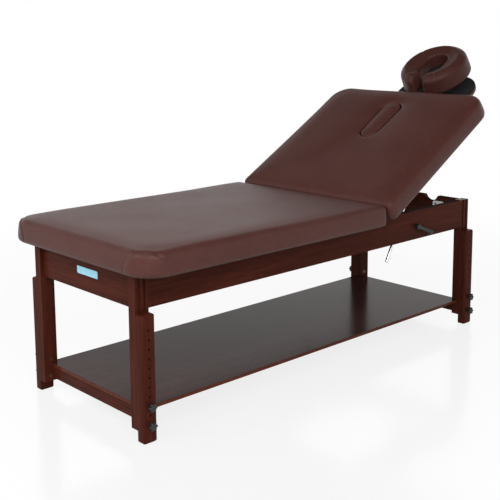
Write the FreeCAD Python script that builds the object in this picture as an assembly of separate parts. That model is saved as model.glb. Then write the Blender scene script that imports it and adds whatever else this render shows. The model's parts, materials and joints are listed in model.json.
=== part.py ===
import FreeCAD, Part
import math
import os

# Stationary massage table with a lifting backrest, in millimetres.
# The model is laid out about the middle of the frame: X runs along the table from
# the foot to the head, Y across it from the near to the far side, Z up from the floor.
# The backrest and all it carries are drawn flat and then tilted up about the hinge.

# Frame
frame_length = 1740.0          # over the posts, along the table
frame_width = 576.0            # over the posts, across the table
frame_top = 534.5              # underside of the top in the lowest setting
post_width = 52.0              # along the table
post_depth = 32.0              # across the table
post_clear_of_floor = 37.5     # under the posts in the lowest setting
groove_width = 9.0             # the two guide grooves down each post
groove_depth = 5.0
groove_ridge = 12.0            # left standing between the grooves
rail_height = 118.0
rail_thickness = 22.0
end_rail_setback = 14.5        # end rails stand back from the posts' outer faces
cross_rail_height = 90.0
seat_rail_x = -380.0           # middle of the cross rail under the seat
notch_width = 70.0             # half-round notches in the head rail
notch_depth = 24.0
corner_block_leg = 60.0
corner_block_height = 70.0
corner_block_drop = 20.0       # below the top of the rails
block_bolt_diameter = 8.0
block_bolt_head = 13.0
block_bolt_head_height = 5.0
block_bolt_length = 58.0
block_bolt_clearance = 0.2     # radial

# Shelf
shelf_top = 100.0
shelf_thickness = 12.0
shelf_side_setback = 6.0       # from the posts' outer faces
shelf_end_setback = 32.0
stretcher_height = 40.0
beam_height = 36.0             # bearer along the middle of the shelf

# Sliding legs
leg_height = 406.0
leg_depth = 32.0
leg_edge_radius = 9.0
leg_end_chamfer = 4.0
slide_clearance = 0.3
hole_pitch = 30.0
hole_count = 11
top_hole_drop = 48.0           # from the top of the leg
bolt_diameter = 8.0
bolt_hole_clearance = 0.3      # radial, in the legs
stud_clearance = 0.05          # radial, in the inserts
upper_knob_hole = 8            # counted from the top hole as 0
lower_knob_hole = 10
insert_diameter = 12.0
insert_length = 16.0
knob_diameter = 30.0
knob_lobes = 6
knob_lobe_radius = 4.6
knob_height = 13.0
knob_neck_diameter = 15.0
knob_neck_height = 7.0

# Top
side_overhang = 112.0          # cushion past the posts, each side
foot_overhang = 38.0           # cushion past the foot posts
head_overhang = 76.0           # cushion past the head posts, when flat
cushion_thickness = 78.0
foot_corner_radius = 95.0
head_corner_radius = 88.0
hinge_corner_radius = 34.0
cushion_top_radius = 36.0
cushion_bottom_radius = 6.0
deck_thickness = 15.0
deck_inset = 8.0               # upholstery round the edge of the deck
pocket_clearance = 0.3
flat_clearance = 0.4           # between the lowered backrest and the rails

# Hinge
hinge_x = 204.0
hinge_height = 40.5            # pin above the underside of the top
hinge_gap = 18.0               # between the two cushions, when flat
rest_tilt = 31.0               # degrees
hinge_spread = 250.0           # outer hinges from the middle
hinge_width = 72.0
leaf_thickness = 2.5
leaf_lift = 3.0                # bottom of the leaves above the rails
knuckle_diameter = 9.0
knuckle_gap = 0.4
pin_diameter = 4.0
pin_clearance = 0.04           # radial

# Breath hole and its plug
hole_length = 245.0
hole_width = 92.0
hole_centre = 518.0            # from the hinge, along the backrest
hole_edge_radius = 5.0
hole_ledge = 11.0              # deck left standing inside the cushion's hole
plug_clearance = 1.2
plug_recess = 1.5
plug_edge_radius = 9.0

# Prop rods, one each side
rod_diameter = 12.0
rod_off_rail = 46.0            # rod's axis inside the side rail
rod_length = 501.0             # pivot to free end
rod_angle = 61.7               # from level, at rest
rod_pivot_reach = 481.0        # from the hinge, along the backrest
rod_pivot_drop = 22.0          # below the deck
rod_eye_diameter = 20.0
rod_eye_thickness = 9.4
rod_end_chamfer = 1.5
bracket_thickness = 3.0
bracket_length = 56.0
bracket_width = 44.0
bracket_gap = 0.7              # rod eye to bracket ear
pivot_diameter = 8.0
pivot_clearance = 0.05         # radial
pivot_head_diameter = 13.0
pivot_head_height = 2.5

# Rod clamps and their levers
lever_height = 471.0
lever_ahead = 17.0             # lever towards the head from the rod
cheek_thickness = 4.0
cheek_behind = 36.0            # cheek edges from the rod, at lever height
cheek_ahead = 76.0
cheek_below = 57.0
cheek_above = 37.0
cheek_corner_radius = 10.0
rod_clearance = 0.3
spacer_diameter = 8.0
spacer_inset = 11.0            # from the cheek's edges
spacer_hole_clearance = 0.2
lever_screw_diameter = 10.0
lever_screw_clearance = 0.05   # radial
lever_hub_diameter = 21.0
lever_hub_height = 22.0
lever_length = 78.0
lever_droop = 23.0             # degrees below level
lever_rise = 14.0              # handle end further out than the hub
lever_root_radius = 6.5
lever_end_radius = 7.5

# Steel plates inside the head rail
plate_width = 58.0
plate_height = 46.0
plate_thickness = 3.0
plate_drop = 21.0              # below the top of the rail
plate_off_post = 92.0          # plate's middle inside the head posts
plate_corner_radius = 9.0
plate_hole_diameter = 9.0
plate_hole_inset = 13.0

# Face cradle, drawn in line with the flat backrest
cradle_post_spread = 121.0
cradle_post_diameter = 14.0
cradle_post_drop = 11.0        # post axis below the deck
cradle_post_grip = 125.0       # length inside the socket
socket_wall = 4.0
socket_foot_width = 44.0
socket_clearance = 0.05        # radial
socket_setback = 14.0          # mouth back from the cushion's end
socket_end_wall = 6.0
bar_ahead = 29.0               # bar past the cushion's end
bar_thickness = 20.0
bar_above_post = 10.0          # bar past the post's axis
bar_length = 284.0
base_drop = 25.5               # top of the base board below the post's axis
base_thickness = 14.0
base_width = 390.0
base_head_reach = 279.0        # past the cushion's end
base_corner_radius = 130.0
base_foot_radius = 20.0
base_face_margin = -20.0       # opening past the pad's
pivot_ahead = 14.0             # tilt pivot past the bar
ear_spread = 60.0
ear_thickness = 6.0
ear_radius = 11.0
ear_gap = 0.4
platform_thickness = 14.0
platform_radius = 146.0
platform_lift = 17.0           # underside above the tilt pivot
platform_foot_trim = 5.0       # flat on its foot side, clear of the bar when tilted
pad_radius = 155.0
pad_thickness = 77.0
pad_ahead = 200.0              # centre past the cushion's end
pad_outer_edge_radius = 30.0
pad_inner_edge_radius = 12.0
pad_foot_edge_radius = 6.0
pad_slope = 14.0               # degrees, top falling towards the face
face_length = 152.0            # opening for the face
face_width = 108.0
platform_face_margin = 1.0     # opening past the pad's
mouth_gap = 16.0               # where the two ends of the pad meet
skirt_clearance = 1.0          # pad's skirt round the platform

# Modelling
overshoot = 1.0                # cuts run this far past the faces they open
tolerance = 1e-4               # for picking edges and faces by their place

# Worked-out places
half_length = frame_length / 2
half_width = frame_width / 2
half_top = half_width + side_overhang
rail_top = frame_top - flat_clearance
rail_bottom = frame_top - rail_height
post_x = half_length - post_width / 2
post_inner_x = half_length - post_width
post_inner_y = half_width - post_depth
rail_inner_y = half_width - rail_thickness
rod_plane = rail_inner_y - rod_off_rail
plate_centre = post_inner_y - plate_off_post
end_rail_outer_x = half_length - end_rail_setback
end_rail_inner_x = end_rail_outer_x - rail_thickness
leg_inner_y = half_width + slide_clearance
leg_outer_y = half_width + leg_depth
block_bolt_bore = block_bolt_diameter / 2 + block_bolt_clearance
hinge_z = frame_top + hinge_height
seat_foot_x = -half_length - foot_overhang
seat_head_x = hinge_x - hinge_gap / 2
back_foot_x = hinge_x + hinge_gap / 2
back_head_x = half_length + head_overhang
top_z = frame_top + cushion_thickness
deck_top = frame_top + deck_thickness
knob_heights = {
    "upper": leg_height - top_hole_drop - upper_knob_hole * hole_pitch,
    "lower": leg_height - top_hole_drop - lower_knob_hole * hole_pitch,
}
ends = {"foot": -1, "head": 1}
sides = {"near": -1, "far": 1}
x_axis = FreeCAD.Vector(1, 0, 0)
y_axis = FreeCAD.Vector(0, 1, 0)
z_axis = FreeCAD.Vector(0, 0, 1)
hinge_point = FreeCAD.Vector(hinge_x, 0, hinge_z)
nodes = {}


def point(x, y, z):
    return FreeCAD.Vector(x, y, z)


def block(x0, x1, y0, y1, z0, z1):
    low = point(min(x0, x1), min(y0, y1), min(z0, z1))
    return Part.makeBox(abs(x1 - x0), abs(y1 - y0), abs(z1 - z0), low)


def rod(radius, start, end):
    way = end.sub(start)
    return Part.makeCylinder(radius, way.Length, start, way)


def prism(outline, way):
    return Part.Face(Part.makePolygon(outline + outline[:1])).extrude(way)


def rounded_plate(x0, x1, y0, y1, z0, height, radii):
    # radii: at (x0, y0), (x1, y0), (x1, y1), (x0, y1)
    corners = [(x0, y0, 180), (x1, y0, 270), (x1, y1, 0), (x0, y1, 90)]
    edges = []
    last = None
    first = None
    for (cx, cy, start), radius in zip(corners, radii):
        mid_x = cx + radius if cx == x0 else cx - radius
        mid_y = cy + radius if cy == y0 else cy - radius
        arc = Part.makeCircle(radius, point(mid_x, mid_y, z0), z_axis, start, start + 90)
        if last is not None:
            edges.append(Part.makeLine(last, arc.firstVertex().Point))
        else:
            first = arc.firstVertex().Point
        edges.append(arc)
        last = arc.lastVertex().Point
    edges.append(Part.makeLine(last, first))
    return Part.Face(Part.Wire(edges)).extrude(point(0, 0, height))


def stadium(centre_x, length, width, z0, height):
    radius = width / 2
    straight = (length - width) / 2
    parts = [
        Part.makeCylinder(radius, height, point(centre_x - straight, 0, z0)),
        Part.makeCylinder(radius, height, point(centre_x + straight, 0, z0)),
        block(centre_x - straight, centre_x + straight, -radius, radius, z0, z0 + height),
    ]
    return parts[0].fuse(parts[1:]).removeSplitter()


def edges_at(shape, z):
    found = []
    for edge in shape.Edges:
        box = edge.BoundBox
        if max(abs(box.ZMin - z), abs(box.ZMax - z)) < tolerance:
            found.append(edge)
    return found


def upright_edges(shape, test):
    found = []
    for edge in shape.Edges:
        box = edge.BoundBox
        upright = max(box.XLength, box.YLength) < tolerance
        if upright and test(box.XMin, box.YMin):
            found.append(edge)
    return found


def across(shape):
    # the same piece on the other side of the table
    return shape.mirror(point(0, 0, 0), y_axis)


def tilted(shape):
    copy = shape.copy()
    copy.rotate(hinge_point, y_axis, -rest_tilt)
    return copy


def tilted_point(x, y, z):
    spin = FreeCAD.Rotation(y_axis, -rest_tilt)
    return hinge_point.add(spin.multVec(point(x, y, z).sub(hinge_point)))


# Corner blocks' slanted faces and bolt lines, which the posts need too
def corner_slant(sx, sy):
    # the corner block's slanted face: its two edges, seen from above
    by_side_rail = point(sx * (post_inner_x - corner_block_leg), sy * rail_inner_y, 0)
    by_end_rail = point(sx * end_rail_inner_x, sy * (post_inner_y - corner_block_leg), 0)
    return by_side_rail, by_end_rail


def corner_bolt_line(sx, sy, start, end):
    # a stretch of the bolt's axis, measured square from the slanted face towards the post
    by_side_rail, by_end_rail = corner_slant(sx, sy)
    slant = by_end_rail.sub(by_side_rail)
    way = point(-slant.y * sx * sy, slant.x * sx * sy, 0).normalize()
    seat = by_side_rail.add(by_end_rail).multiply(0.5)
    seat.z = rail_top - corner_block_drop - corner_block_height / 2
    return seat.add(way * start), seat.add(way * end)


# Posts with guide grooves, sliding legs, inserts and star knobs
def guide_groove(sx, sy, side, extra, clearance):
    middle = sx * post_x + side * (groove_ridge + groove_width) / 2
    half = groove_width / 2 - clearance
    face = sy * (half_width + extra)
    depth = sy * (half_width - groove_depth + clearance)
    return middle - half, middle + half, face, depth


def make_post(sx, sy):
    # the seat rests on the foot posts, while the lowered backrest just clears the head posts
    top = frame_top if sx < 0 else rail_top
    low = post_clear_of_floor
    post = block(sx * post_inner_x, sx * half_length, sy * post_inner_y, sy * half_width, low, top)
    for side in (-1, 1):
        x0, x1, y0, y1 = guide_groove(sx, sy, side, overshoot, 0.0)
        post = post.cut(block(x0, x1, y0, y1, low - overshoot, top + overshoot))
    for height in knob_heights.values():
        inner = point(sx * post_x, sy * (post_inner_y - overshoot), height)
        outer = point(sx * post_x, sy * (half_width + overshoot), height)
        post = post.cut(rod(bolt_diameter / 2 + bolt_hole_clearance, inner, outer))
        seat = point(sx * post_x, sy * (post_inner_y + insert_length), height)
        post = post.cut(rod(insert_diameter / 2, inner, seat))
    bolt_depth = block_bolt_length + block_bolt_clearance
    return post.cut(rod(block_bolt_bore, *corner_bolt_line(sx, sy, 0, bolt_depth)))


def make_leg(sx, sy):
    leg = block(sx * post_inner_x, sx * half_length, sy * leg_inner_y, sy * leg_outer_y, 0, leg_height)
    outer = upright_edges(leg, lambda x, y: abs(abs(y) - leg_outer_y) < tolerance)
    leg = leg.makeFillet(leg_edge_radius, outer)
    ends_of_leg = [f for f in leg.Faces if f.BoundBox.ZLength < tolerance]
    rims = []
    for face in ends_of_leg:
        rims += [e for e in face.Edges if abs(abs(e.CenterOfMass.y) - leg_inner_y) > tolerance]
    leg = leg.makeChamfer(leg_end_chamfer, rims)
    for side in (-1, 1):
        x0, x1, y0, y1 = guide_groove(sx, sy, side, 2 * slide_clearance, slide_clearance)
        low = post_clear_of_floor + leg_end_chamfer
        leg = leg.fuse(block(x0, x1, y0, y1, low, leg_height - leg_end_chamfer))
    for index in range(hole_count):
        height = leg_height - top_hole_drop - index * hole_pitch
        inner = point(sx * post_x, sy * (half_width - groove_depth - overshoot), height)
        outer = point(sx * post_x, sy * (leg_outer_y + overshoot), height)
        leg = leg.cut(rod(bolt_diameter / 2 + bolt_hole_clearance, inner, outer))
    return leg.removeSplitter()


def make_insert(sx, sy, height):
    inner = point(sx * post_x, sy * post_inner_y, height)
    outer = point(sx * post_x, sy * (post_inner_y + insert_length), height)
    sleeve = rod(insert_diameter / 2, inner, outer)
    return sleeve.cut(rod(bolt_diameter / 2 + stud_clearance, inner, outer))


def make_knob(sx, sy, height):
    seat = leg_outer_y + slide_clearance
    head_start = seat + knob_neck_height
    head_end = head_start + knob_height
    lobe_circle = knob_diameter / 2 - knob_lobe_radius

    def turned(radius, start, end, x=sx * post_x, z=height):
        return rod(radius, point(x, sy * start, z), point(x, sy * end, z))

    knob = turned(knob_neck_diameter / 2, seat, head_start)
    pieces = [turned(lobe_circle, head_start, head_end), turned(bolt_diameter / 2, post_inner_y, head_start)]
    for index in range(knob_lobes):
        turn = 2 * math.pi * index / knob_lobes
        lobe_x = sx * post_x + lobe_circle * math.cos(turn)
        lobe_z = height + lobe_circle * math.sin(turn)
        pieces.append(turned(knob_lobe_radius, head_start, head_end, lobe_x, lobe_z))
    return knob.fuse(pieces).removeSplitter()


for end, sx in ends.items():
    for side, sy in sides.items():
        corner = end + "_" + side
        nodes["post_" + corner] = make_post(sx, sy)
        nodes["leg_" + corner] = make_leg(sx, sy)
        for level, height in knob_heights.items():
            nodes["knob_" + corner + "_" + level] = make_knob(sx, sy, height)
corners = [(sx, sy) for sx in ends.values() for sy in sides.values()]
inserts = [make_insert(sx, sy, height) for sx, sy in corners for height in knob_heights.values()]
nodes["knob_inserts"] = Part.makeCompound(inserts)


# Rails, corner blocks and cross rails
for side, sy in sides.items():
    rail = block(-post_inner_x, post_inner_x, sy * rail_inner_y, sy * half_width, rail_bottom, rail_top)
    nodes["side_rail_" + side] = rail
nodes["foot_rail"] = block(
    -end_rail_outer_x, -end_rail_inner_x, -post_inner_y, post_inner_y, rail_bottom, rail_top
)
head_rail = block(end_rail_inner_x, end_rail_outer_x, -post_inner_y, post_inner_y, rail_bottom, rail_top)
notch_radius = ((notch_width / 2) ** 2 + notch_depth ** 2) / (2 * notch_depth)
for sy in sides.values():
    notch_y = sy * cradle_post_spread
    notch_z = rail_top - notch_depth + notch_radius
    start = point(end_rail_inner_x - overshoot, notch_y, notch_z)
    end = point(end_rail_outer_x + overshoot, notch_y, notch_z)
    head_rail = head_rail.cut(rod(notch_radius, start, end))
nodes["head_rail"] = head_rail

hinge_rail_x = seat_head_x - rail_thickness
for name, middle in (("hinge_cross_rail", hinge_rail_x), ("seat_cross_rail", seat_rail_x)):
    x0 = middle - rail_thickness / 2
    x1 = middle + rail_thickness / 2
    nodes[name] = block(x0, x1, -rail_inner_y, rail_inner_y, frame_top - cross_rail_height, frame_top)


def make_corner_block(sx, sy):
    by_side_rail, by_end_rail = corner_slant(sx, sy)
    outline = [
        by_side_rail,
        point(sx * post_inner_x, sy * rail_inner_y, 0),
        point(sx * post_inner_x, sy * post_inner_y, 0),
        point(sx * end_rail_inner_x, sy * post_inner_y, 0),
        by_end_rail,
    ]
    solid = prism(outline, point(0, 0, corner_block_height))
    solid.translate(point(0, 0, rail_top - corner_block_drop - corner_block_height))
    return solid.cut(rod(block_bolt_bore, *corner_bolt_line(sx, sy, -overshoot, block_bolt_length)))


def make_corner_bolt(sx, sy):
    shank = rod(block_bolt_diameter / 2, *corner_bolt_line(sx, sy, 0, block_bolt_length))
    head = rod(block_bolt_head / 2, *corner_bolt_line(sx, sy, -block_bolt_head_height, 0))
    return shank.fuse(head)


nodes["corner_blocks"] = Part.makeCompound([make_corner_block(*corner) for corner in corners])
nodes["corner_bolts"] = Part.makeCompound([make_corner_bolt(*corner) for corner in corners])


# Shelf on its end stretchers and middle bearer, notched round the posts
shelf_x = half_length - shelf_end_setback
shelf_y = half_width - shelf_side_setback
shelf_low = shelf_top - shelf_thickness
shelf = block(-shelf_x, shelf_x, -shelf_y, shelf_y, shelf_low, shelf_top)
for sx, sy in corners:
    inner_x = sx * (post_inner_x - slide_clearance)
    inner_y = sy * (post_inner_y - slide_clearance)
    low = shelf_low - overshoot
    shelf = shelf.cut(block(inner_x, sx * half_length, inner_y, sy * half_width, low, shelf_top + overshoot))
nodes["shelf"] = shelf
stretcher_low = shelf_low - stretcher_height
for end, sx in ends.items():
    inner_x = sx * (shelf_x - rail_thickness)
    stretcher = block(inner_x, sx * shelf_x, -post_inner_y, post_inner_y, stretcher_low, shelf_low)
    nodes["shelf_stretcher_" + end] = stretcher
beam_x = shelf_x - rail_thickness
nodes["shelf_bearer"] = block(
    -beam_x, beam_x, -rail_thickness / 2, rail_thickness / 2, shelf_low - beam_height, shelf_low
)


# Seat: deck board and cushion
def upholstered(x0, x1, radii):
    pad = rounded_plate(x0, x1, -half_top, half_top, frame_top, cushion_thickness, radii)
    pad = pad.makeFillet(cushion_top_radius, edges_at(pad, top_z))
    return pad.makeFillet(cushion_bottom_radius, edges_at(pad, frame_top))


def deck_board(x0, x1, radii, margin):
    # margin: upholstery left round the edge
    half = half_top - margin
    smaller = [radius - margin for radius in radii]
    return rounded_plate(x0 + margin, x1 - margin, -half, half, frame_top, deck_thickness, smaller)


seat_radii = [foot_corner_radius, hinge_corner_radius, hinge_corner_radius, foot_corner_radius]
pocket_margin = deck_inset - pocket_clearance
seat_pocket = deck_board(seat_foot_x, seat_head_x, seat_radii, pocket_margin)
nodes["seat_deck"] = deck_board(seat_foot_x, seat_head_x, seat_radii, deck_inset)
nodes["seat_cushion"] = upholstered(seat_foot_x, seat_head_x, seat_radii).cut(seat_pocket)


# Backrest: deck board, cushion with a breath hole, and the plug
back_radii = [hinge_corner_radius, head_corner_radius, head_corner_radius, hinge_corner_radius]
hole_x = hinge_x + hole_centre
ledge_length = hole_length - 2 * hole_ledge
ledge_width = hole_width - 2 * hole_ledge
back_deck = deck_board(back_foot_x, back_head_x, back_radii, deck_inset)
through = deck_thickness + 2 * overshoot
back_deck = back_deck.cut(stadium(hole_x, ledge_length, ledge_width, frame_top - overshoot, through))
back_pocket = deck_board(back_foot_x, back_head_x, back_radii, pocket_margin)
back_cushion = upholstered(back_foot_x, back_head_x, back_radii)
through = cushion_thickness + overshoot
back_cushion = back_cushion.cut(stadium(hole_x, hole_length, hole_width, frame_top, through))
rim = [e for e in edges_at(back_cushion, top_z) if abs(e.CenterOfMass.x - hole_x) < hole_length]
rim = [e for e in rim if abs(e.CenterOfMass.y) < hole_width]
back_cushion = back_cushion.makeFillet(hole_edge_radius, rim).cut(back_pocket)
plug_z = deck_top + pocket_clearance
plug_height = top_z - plug_recess - plug_z
plug_length = hole_length - 2 * plug_clearance
plug = stadium(hole_x, plug_length, hole_width - 2 * plug_clearance, plug_z, plug_height)
plug = plug.makeFillet(plug_edge_radius, edges_at(plug, plug_z + plug_height))
nodes["backrest_deck"] = tilted(back_deck)
nodes["backrest_cushion"] = tilted(back_cushion)
nodes["breath_hole_plug"] = tilted(plug)


# Three butt hinges standing in the gap between the cushions
def knuckle(y0, y1):
    return rod(knuckle_diameter / 2, point(hinge_x, y0, hinge_z), point(hinge_x, y1, hinge_z))


def make_leaf(middle, way, spans):
    # way is -1 for the leaf on the seat, 1 for the leaf on the backrest
    face = hinge_x + way * hinge_gap / 2
    inner = face - way * leaf_thickness
    web_low = hinge_z - leaf_thickness / 2
    y0 = middle - hinge_width / 2
    y1 = middle + hinge_width / 2
    leaf = block(face, inner, y0, y1, frame_top + leaf_lift, hinge_z + leaf_thickness / 2)
    for start, end in spans:
        web = block(face, hinge_x, y0 + start, y0 + end, web_low, web_low + leaf_thickness)
        leaf = leaf.fuse([web, knuckle(y0 + start, y0 + end)])
    bore_start = point(hinge_x, y0 - overshoot, hinge_z)
    bore = rod(pin_diameter / 2 + pin_clearance, bore_start, point(hinge_x, y1 + overshoot, hinge_z))
    return leaf.cut(bore).removeSplitter()


third = hinge_width / 3
outer_spans = [(0, third - knuckle_gap), (2 * third + knuckle_gap, hinge_width)]
inner_spans = [(third, 2 * third)]
hinge_middles = [-hinge_spread, 0.0, hinge_spread]
seat_leaves = [make_leaf(y, -1, outer_spans) for y in hinge_middles]
back_leaves = [tilted(make_leaf(y, 1, inner_spans)) for y in hinge_middles]
hinge_pins = []
for y in hinge_middles:
    start = point(hinge_x, y - hinge_width / 2, hinge_z)
    hinge_pins.append(rod(pin_diameter / 2, start, point(hinge_x, y + hinge_width / 2, hinge_z)))
nodes["hinge_leaves_seat"] = Part.makeCompound(seat_leaves)
nodes["hinge_leaves_backrest"] = Part.makeCompound(back_leaves)
nodes["hinge_pins"] = Part.makeCompound(hinge_pins)


# Prop rods: bracket, pivot pin and rod on the far side, then mirrored to the near side
rod_pivot_x = hinge_x + rod_pivot_reach
rod_pivot_z = frame_top - rod_pivot_drop
rod_radius = rod_diameter / 2
ear_inner = rod_eye_thickness / 2 + bracket_gap
ear_outer = ear_inner + bracket_thickness


def pivot_line(radius, start, end):
    # a stretch of the pivot's axis, measured from the rod's plane
    y0 = rod_plane + start
    return rod(radius, point(rod_pivot_x, y0, rod_pivot_z), point(rod_pivot_x, rod_plane + end, rod_pivot_z))


def make_rod_bracket():
    x0 = rod_pivot_x - bracket_length / 2
    y0 = rod_plane - bracket_width / 2
    base_low = frame_top - bracket_thickness
    bracket = block(x0, x0 + bracket_length, y0, y0 + bracket_width, base_low, frame_top)
    radius = rod_eye_diameter / 2
    for way in (-1, 1):
        y_start = rod_plane + way * ear_inner
        y_end = rod_plane + way * ear_outer
        stem = block(rod_pivot_x - radius, rod_pivot_x + radius, y_start, y_end, rod_pivot_z, frame_top)
        bracket = bracket.fuse([pivot_line(radius, way * ear_inner, way * ear_outer), stem])
    bore = pivot_line(pivot_diameter / 2 + pin_clearance, -bracket_width / 2, bracket_width / 2)
    return bracket.cut(bore).removeSplitter()


def make_pivot_pin():
    pin = pivot_line(pivot_diameter / 2, -ear_outer, ear_outer)
    for way in (-1, 1):
        head_end = way * (ear_outer + pivot_head_height)
        pin = pin.fuse(pivot_line(pivot_head_diameter / 2, way * ear_outer, head_end))
    return pin


pivot_at_rest = tilted_point(rod_pivot_x, rod_plane, rod_pivot_z)
rod_way = point(math.cos(math.radians(rod_angle)), 0, math.sin(math.radians(rod_angle)))


def make_prop_rod():
    eye_half = point(0, rod_eye_thickness / 2, 0)
    free_end = pivot_at_rest.sub(rod_way * rod_length)
    bar = rod(rod_radius, free_end, pivot_at_rest)
    tip = [e for e in bar.Edges if e.BoundBox.Center.distanceToPoint(free_end) < rod_radius]
    bar = bar.makeChamfer(rod_end_chamfer, tip)
    eye_start = pivot_at_rest.sub(eye_half)
    eye_end = pivot_at_rest.add(eye_half)
    trim = block(-rod_length, rod_length, 0, rod_diameter, -rod_length, rod_length)
    for way in (-1, 1):
        side = trim.copy()
        offset = eye_half.y if way > 0 else -eye_half.y - rod_diameter
        side.translate(point(pivot_at_rest.x, rod_plane + offset, pivot_at_rest.z))
        near_eye = rod(rod_eye_diameter, eye_start.sub(eye_half), eye_end.add(eye_half))
        bar = bar.cut(side.common(near_eye))
    eye = rod(rod_eye_diameter / 2, eye_start, eye_end)
    bore = rod(pivot_diameter / 2 + pivot_clearance, eye_start.sub(eye_half), eye_end.add(eye_half))
    return bar.fuse(eye).cut(bore).removeSplitter()


# Clamp: two cheeks that pinch the rod, held off the side rail by spacers, and the lever screw
along_rod = (pivot_at_rest.z - lever_height) / rod_way.z
clamp_x = pivot_at_rest.x - rod_way.x * along_rod
cheek_x0 = clamp_x - cheek_behind
cheek_x1 = clamp_x + cheek_ahead
cheek_z0 = lever_height - cheek_below
cheek_z1 = lever_height + cheek_above
inner_cheek_y = rod_plane - rod_radius - rod_clearance
outer_cheek_y = rod_plane + rod_radius + rod_clearance
lever_x = clamp_x + lever_ahead
spacer_places = [
    (cheek_x0 + spacer_inset, cheek_z1 - spacer_inset),
    (cheek_x0 + spacer_inset, lever_height - spacer_inset),
    (cheek_x1 - spacer_inset, cheek_z0 + spacer_inset),
]


def make_cheek(y_low):
    radii = [cheek_corner_radius] * 4
    cheek = rounded_plate(cheek_x0, cheek_x1, cheek_z0, cheek_z1, 0, cheek_thickness, radii)
    cheek.rotate(point(0, 0, 0), x_axis, 90)
    cheek.translate(point(0, y_low + cheek_thickness, 0))
    return cheek


def make_spacer(x, z):
    return rod(spacer_diameter / 2, point(x, inner_cheek_y, z), point(x, rail_inner_y, z))


def make_pressure_plate():
    plate = make_cheek(outer_cheek_y)
    for x, z in spacer_places:
        start = point(x, outer_cheek_y - overshoot, z)
        end = point(x, outer_cheek_y + cheek_thickness + overshoot, z)
        plate = plate.cut(rod(spacer_diameter / 2 + spacer_hole_clearance, start, end))
    return plate


def make_lever():
    screw_tip = point(lever_x, outer_cheek_y + cheek_thickness + slide_clearance, lever_height)
    hub_start = point(lever_x, half_width + slide_clearance, lever_height)
    hub_end = hub_start.add(y_axis * lever_hub_height)
    screw = rod(lever_screw_diameter / 2, screw_tip, hub_end)
    hub = rod(lever_hub_diameter / 2, hub_start, hub_end)
    droop = math.radians(lever_droop)
    root = hub_end.sub(y_axis * lever_end_radius)
    tip = root.add(point(lever_length * math.cos(droop), lever_rise, -lever_length * math.sin(droop)))
    way = tip.sub(root)
    handle = Part.makeCone(lever_root_radius, lever_end_radius, way.Length, root, way)
    return screw.fuse([hub, handle, Part.makeSphere(lever_end_radius, tip)]).removeSplitter()


for side, sy in sides.items():
    turn = across if sy < 0 else Part.Shape.copy
    nodes["prop_rod_bracket_" + side] = turn(tilted(make_rod_bracket()))
    nodes["prop_rod_pin_" + side] = turn(tilted(make_pivot_pin()))
    nodes["prop_rod_" + side] = turn(make_prop_rod())
    nodes["clamp_cheek_" + side] = turn(make_cheek(inner_cheek_y - cheek_thickness))
    nodes["clamp_pressure_plate_" + side] = turn(make_pressure_plate())
    nodes["clamp_lever_" + side] = turn(make_lever())
    start = point(lever_x, sy * (rail_inner_y - overshoot), lever_height)
    end = point(lever_x, sy * (half_width + overshoot), lever_height)
    screw_hole = rod(lever_screw_diameter / 2 + lever_screw_clearance, start, end)
    nodes["side_rail_" + side] = nodes["side_rail_" + side].cut(screw_hole)
spacers = [make_spacer(x, z) for x, z in spacer_places]
nodes["clamp_spacers"] = Part.makeCompound(spacers + [across(spacer) for spacer in spacers])


# Steel plates on the inside of the head rail
def make_rail_plate():
    y0 = plate_centre - plate_width / 2
    z1 = rail_top - plate_drop
    z0 = z1 - plate_height
    plate = rounded_plate(z0, z1, y0, y0 + plate_width, 0, plate_thickness, [plate_corner_radius] * 4)
    for along in (plate_hole_inset, plate_width - plate_hole_inset):
        hole_at = point(z1 - plate_hole_inset, y0 + along, -overshoot)
        through = plate_thickness + 2 * overshoot
        plate = plate.cut(Part.makeCylinder(plate_hole_diameter / 2, through, hole_at))
    plate.rotate(point(0, 0, 0), y_axis, -90)
    plate.translate(point(end_rail_inner_x, 0, 0))
    return plate


rail_plate = make_rail_plate()
nodes["head_rail_plates"] = Part.makeCompound([rail_plate, across(rail_plate)])


# Face cradle: sockets under the backrest, two posts on a bar and base board, tilting platform and pad
post_axis_z = frame_top - cradle_post_drop
post_radius = cradle_post_diameter / 2
socket_mouth_x = back_head_x - socket_setback
socket_start_x = socket_mouth_x - cradle_post_grip - socket_end_wall
bar_x = back_head_x + bar_ahead
tilt_x = bar_x + bar_thickness + pivot_ahead
base_top = post_axis_z - base_drop
tilt_z = post_axis_z
platform_z = tilt_z + platform_lift
pad_x = back_head_x + pad_ahead
pad_z = platform_z + platform_thickness
platform_flat_x = pad_x - platform_radius + platform_foot_trim


def make_socket():
    radius = post_radius + socket_wall
    start = point(socket_start_x, cradle_post_spread, post_axis_z)
    mouth = point(socket_mouth_x, cradle_post_spread, post_axis_z)
    y0 = cradle_post_spread - socket_foot_width / 2
    y1 = y0 + socket_foot_width
    flange = block(socket_start_x, socket_mouth_x, y0, y1, frame_top - socket_wall, frame_top)
    neck_y = cradle_post_spread - radius
    neck = block(socket_start_x, socket_mouth_x, neck_y, neck_y + 2 * radius, post_axis_z, frame_top)
    bore_start = point(socket_start_x + socket_end_wall, cradle_post_spread, post_axis_z)
    bore = rod(post_radius + socket_clearance, bore_start, mouth.add(x_axis))
    return rod(radius, start, mouth).fuse([flange, neck]).cut(bore).removeSplitter()


def make_cradle_post():
    start = point(socket_mouth_x - cradle_post_grip, cradle_post_spread, post_axis_z)
    return rod(post_radius, start, point(bar_x, cradle_post_spread, post_axis_z))


def tilt_line(radius, y0, y1):
    return rod(radius, point(tilt_x, y0, tilt_z), point(tilt_x, y1, tilt_z))


ear_y0 = ear_spread
ear_y1 = ear_y0 + ear_thickness
lug_y0 = ear_y1 + ear_gap
lug_y1 = lug_y0 + ear_thickness


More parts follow.
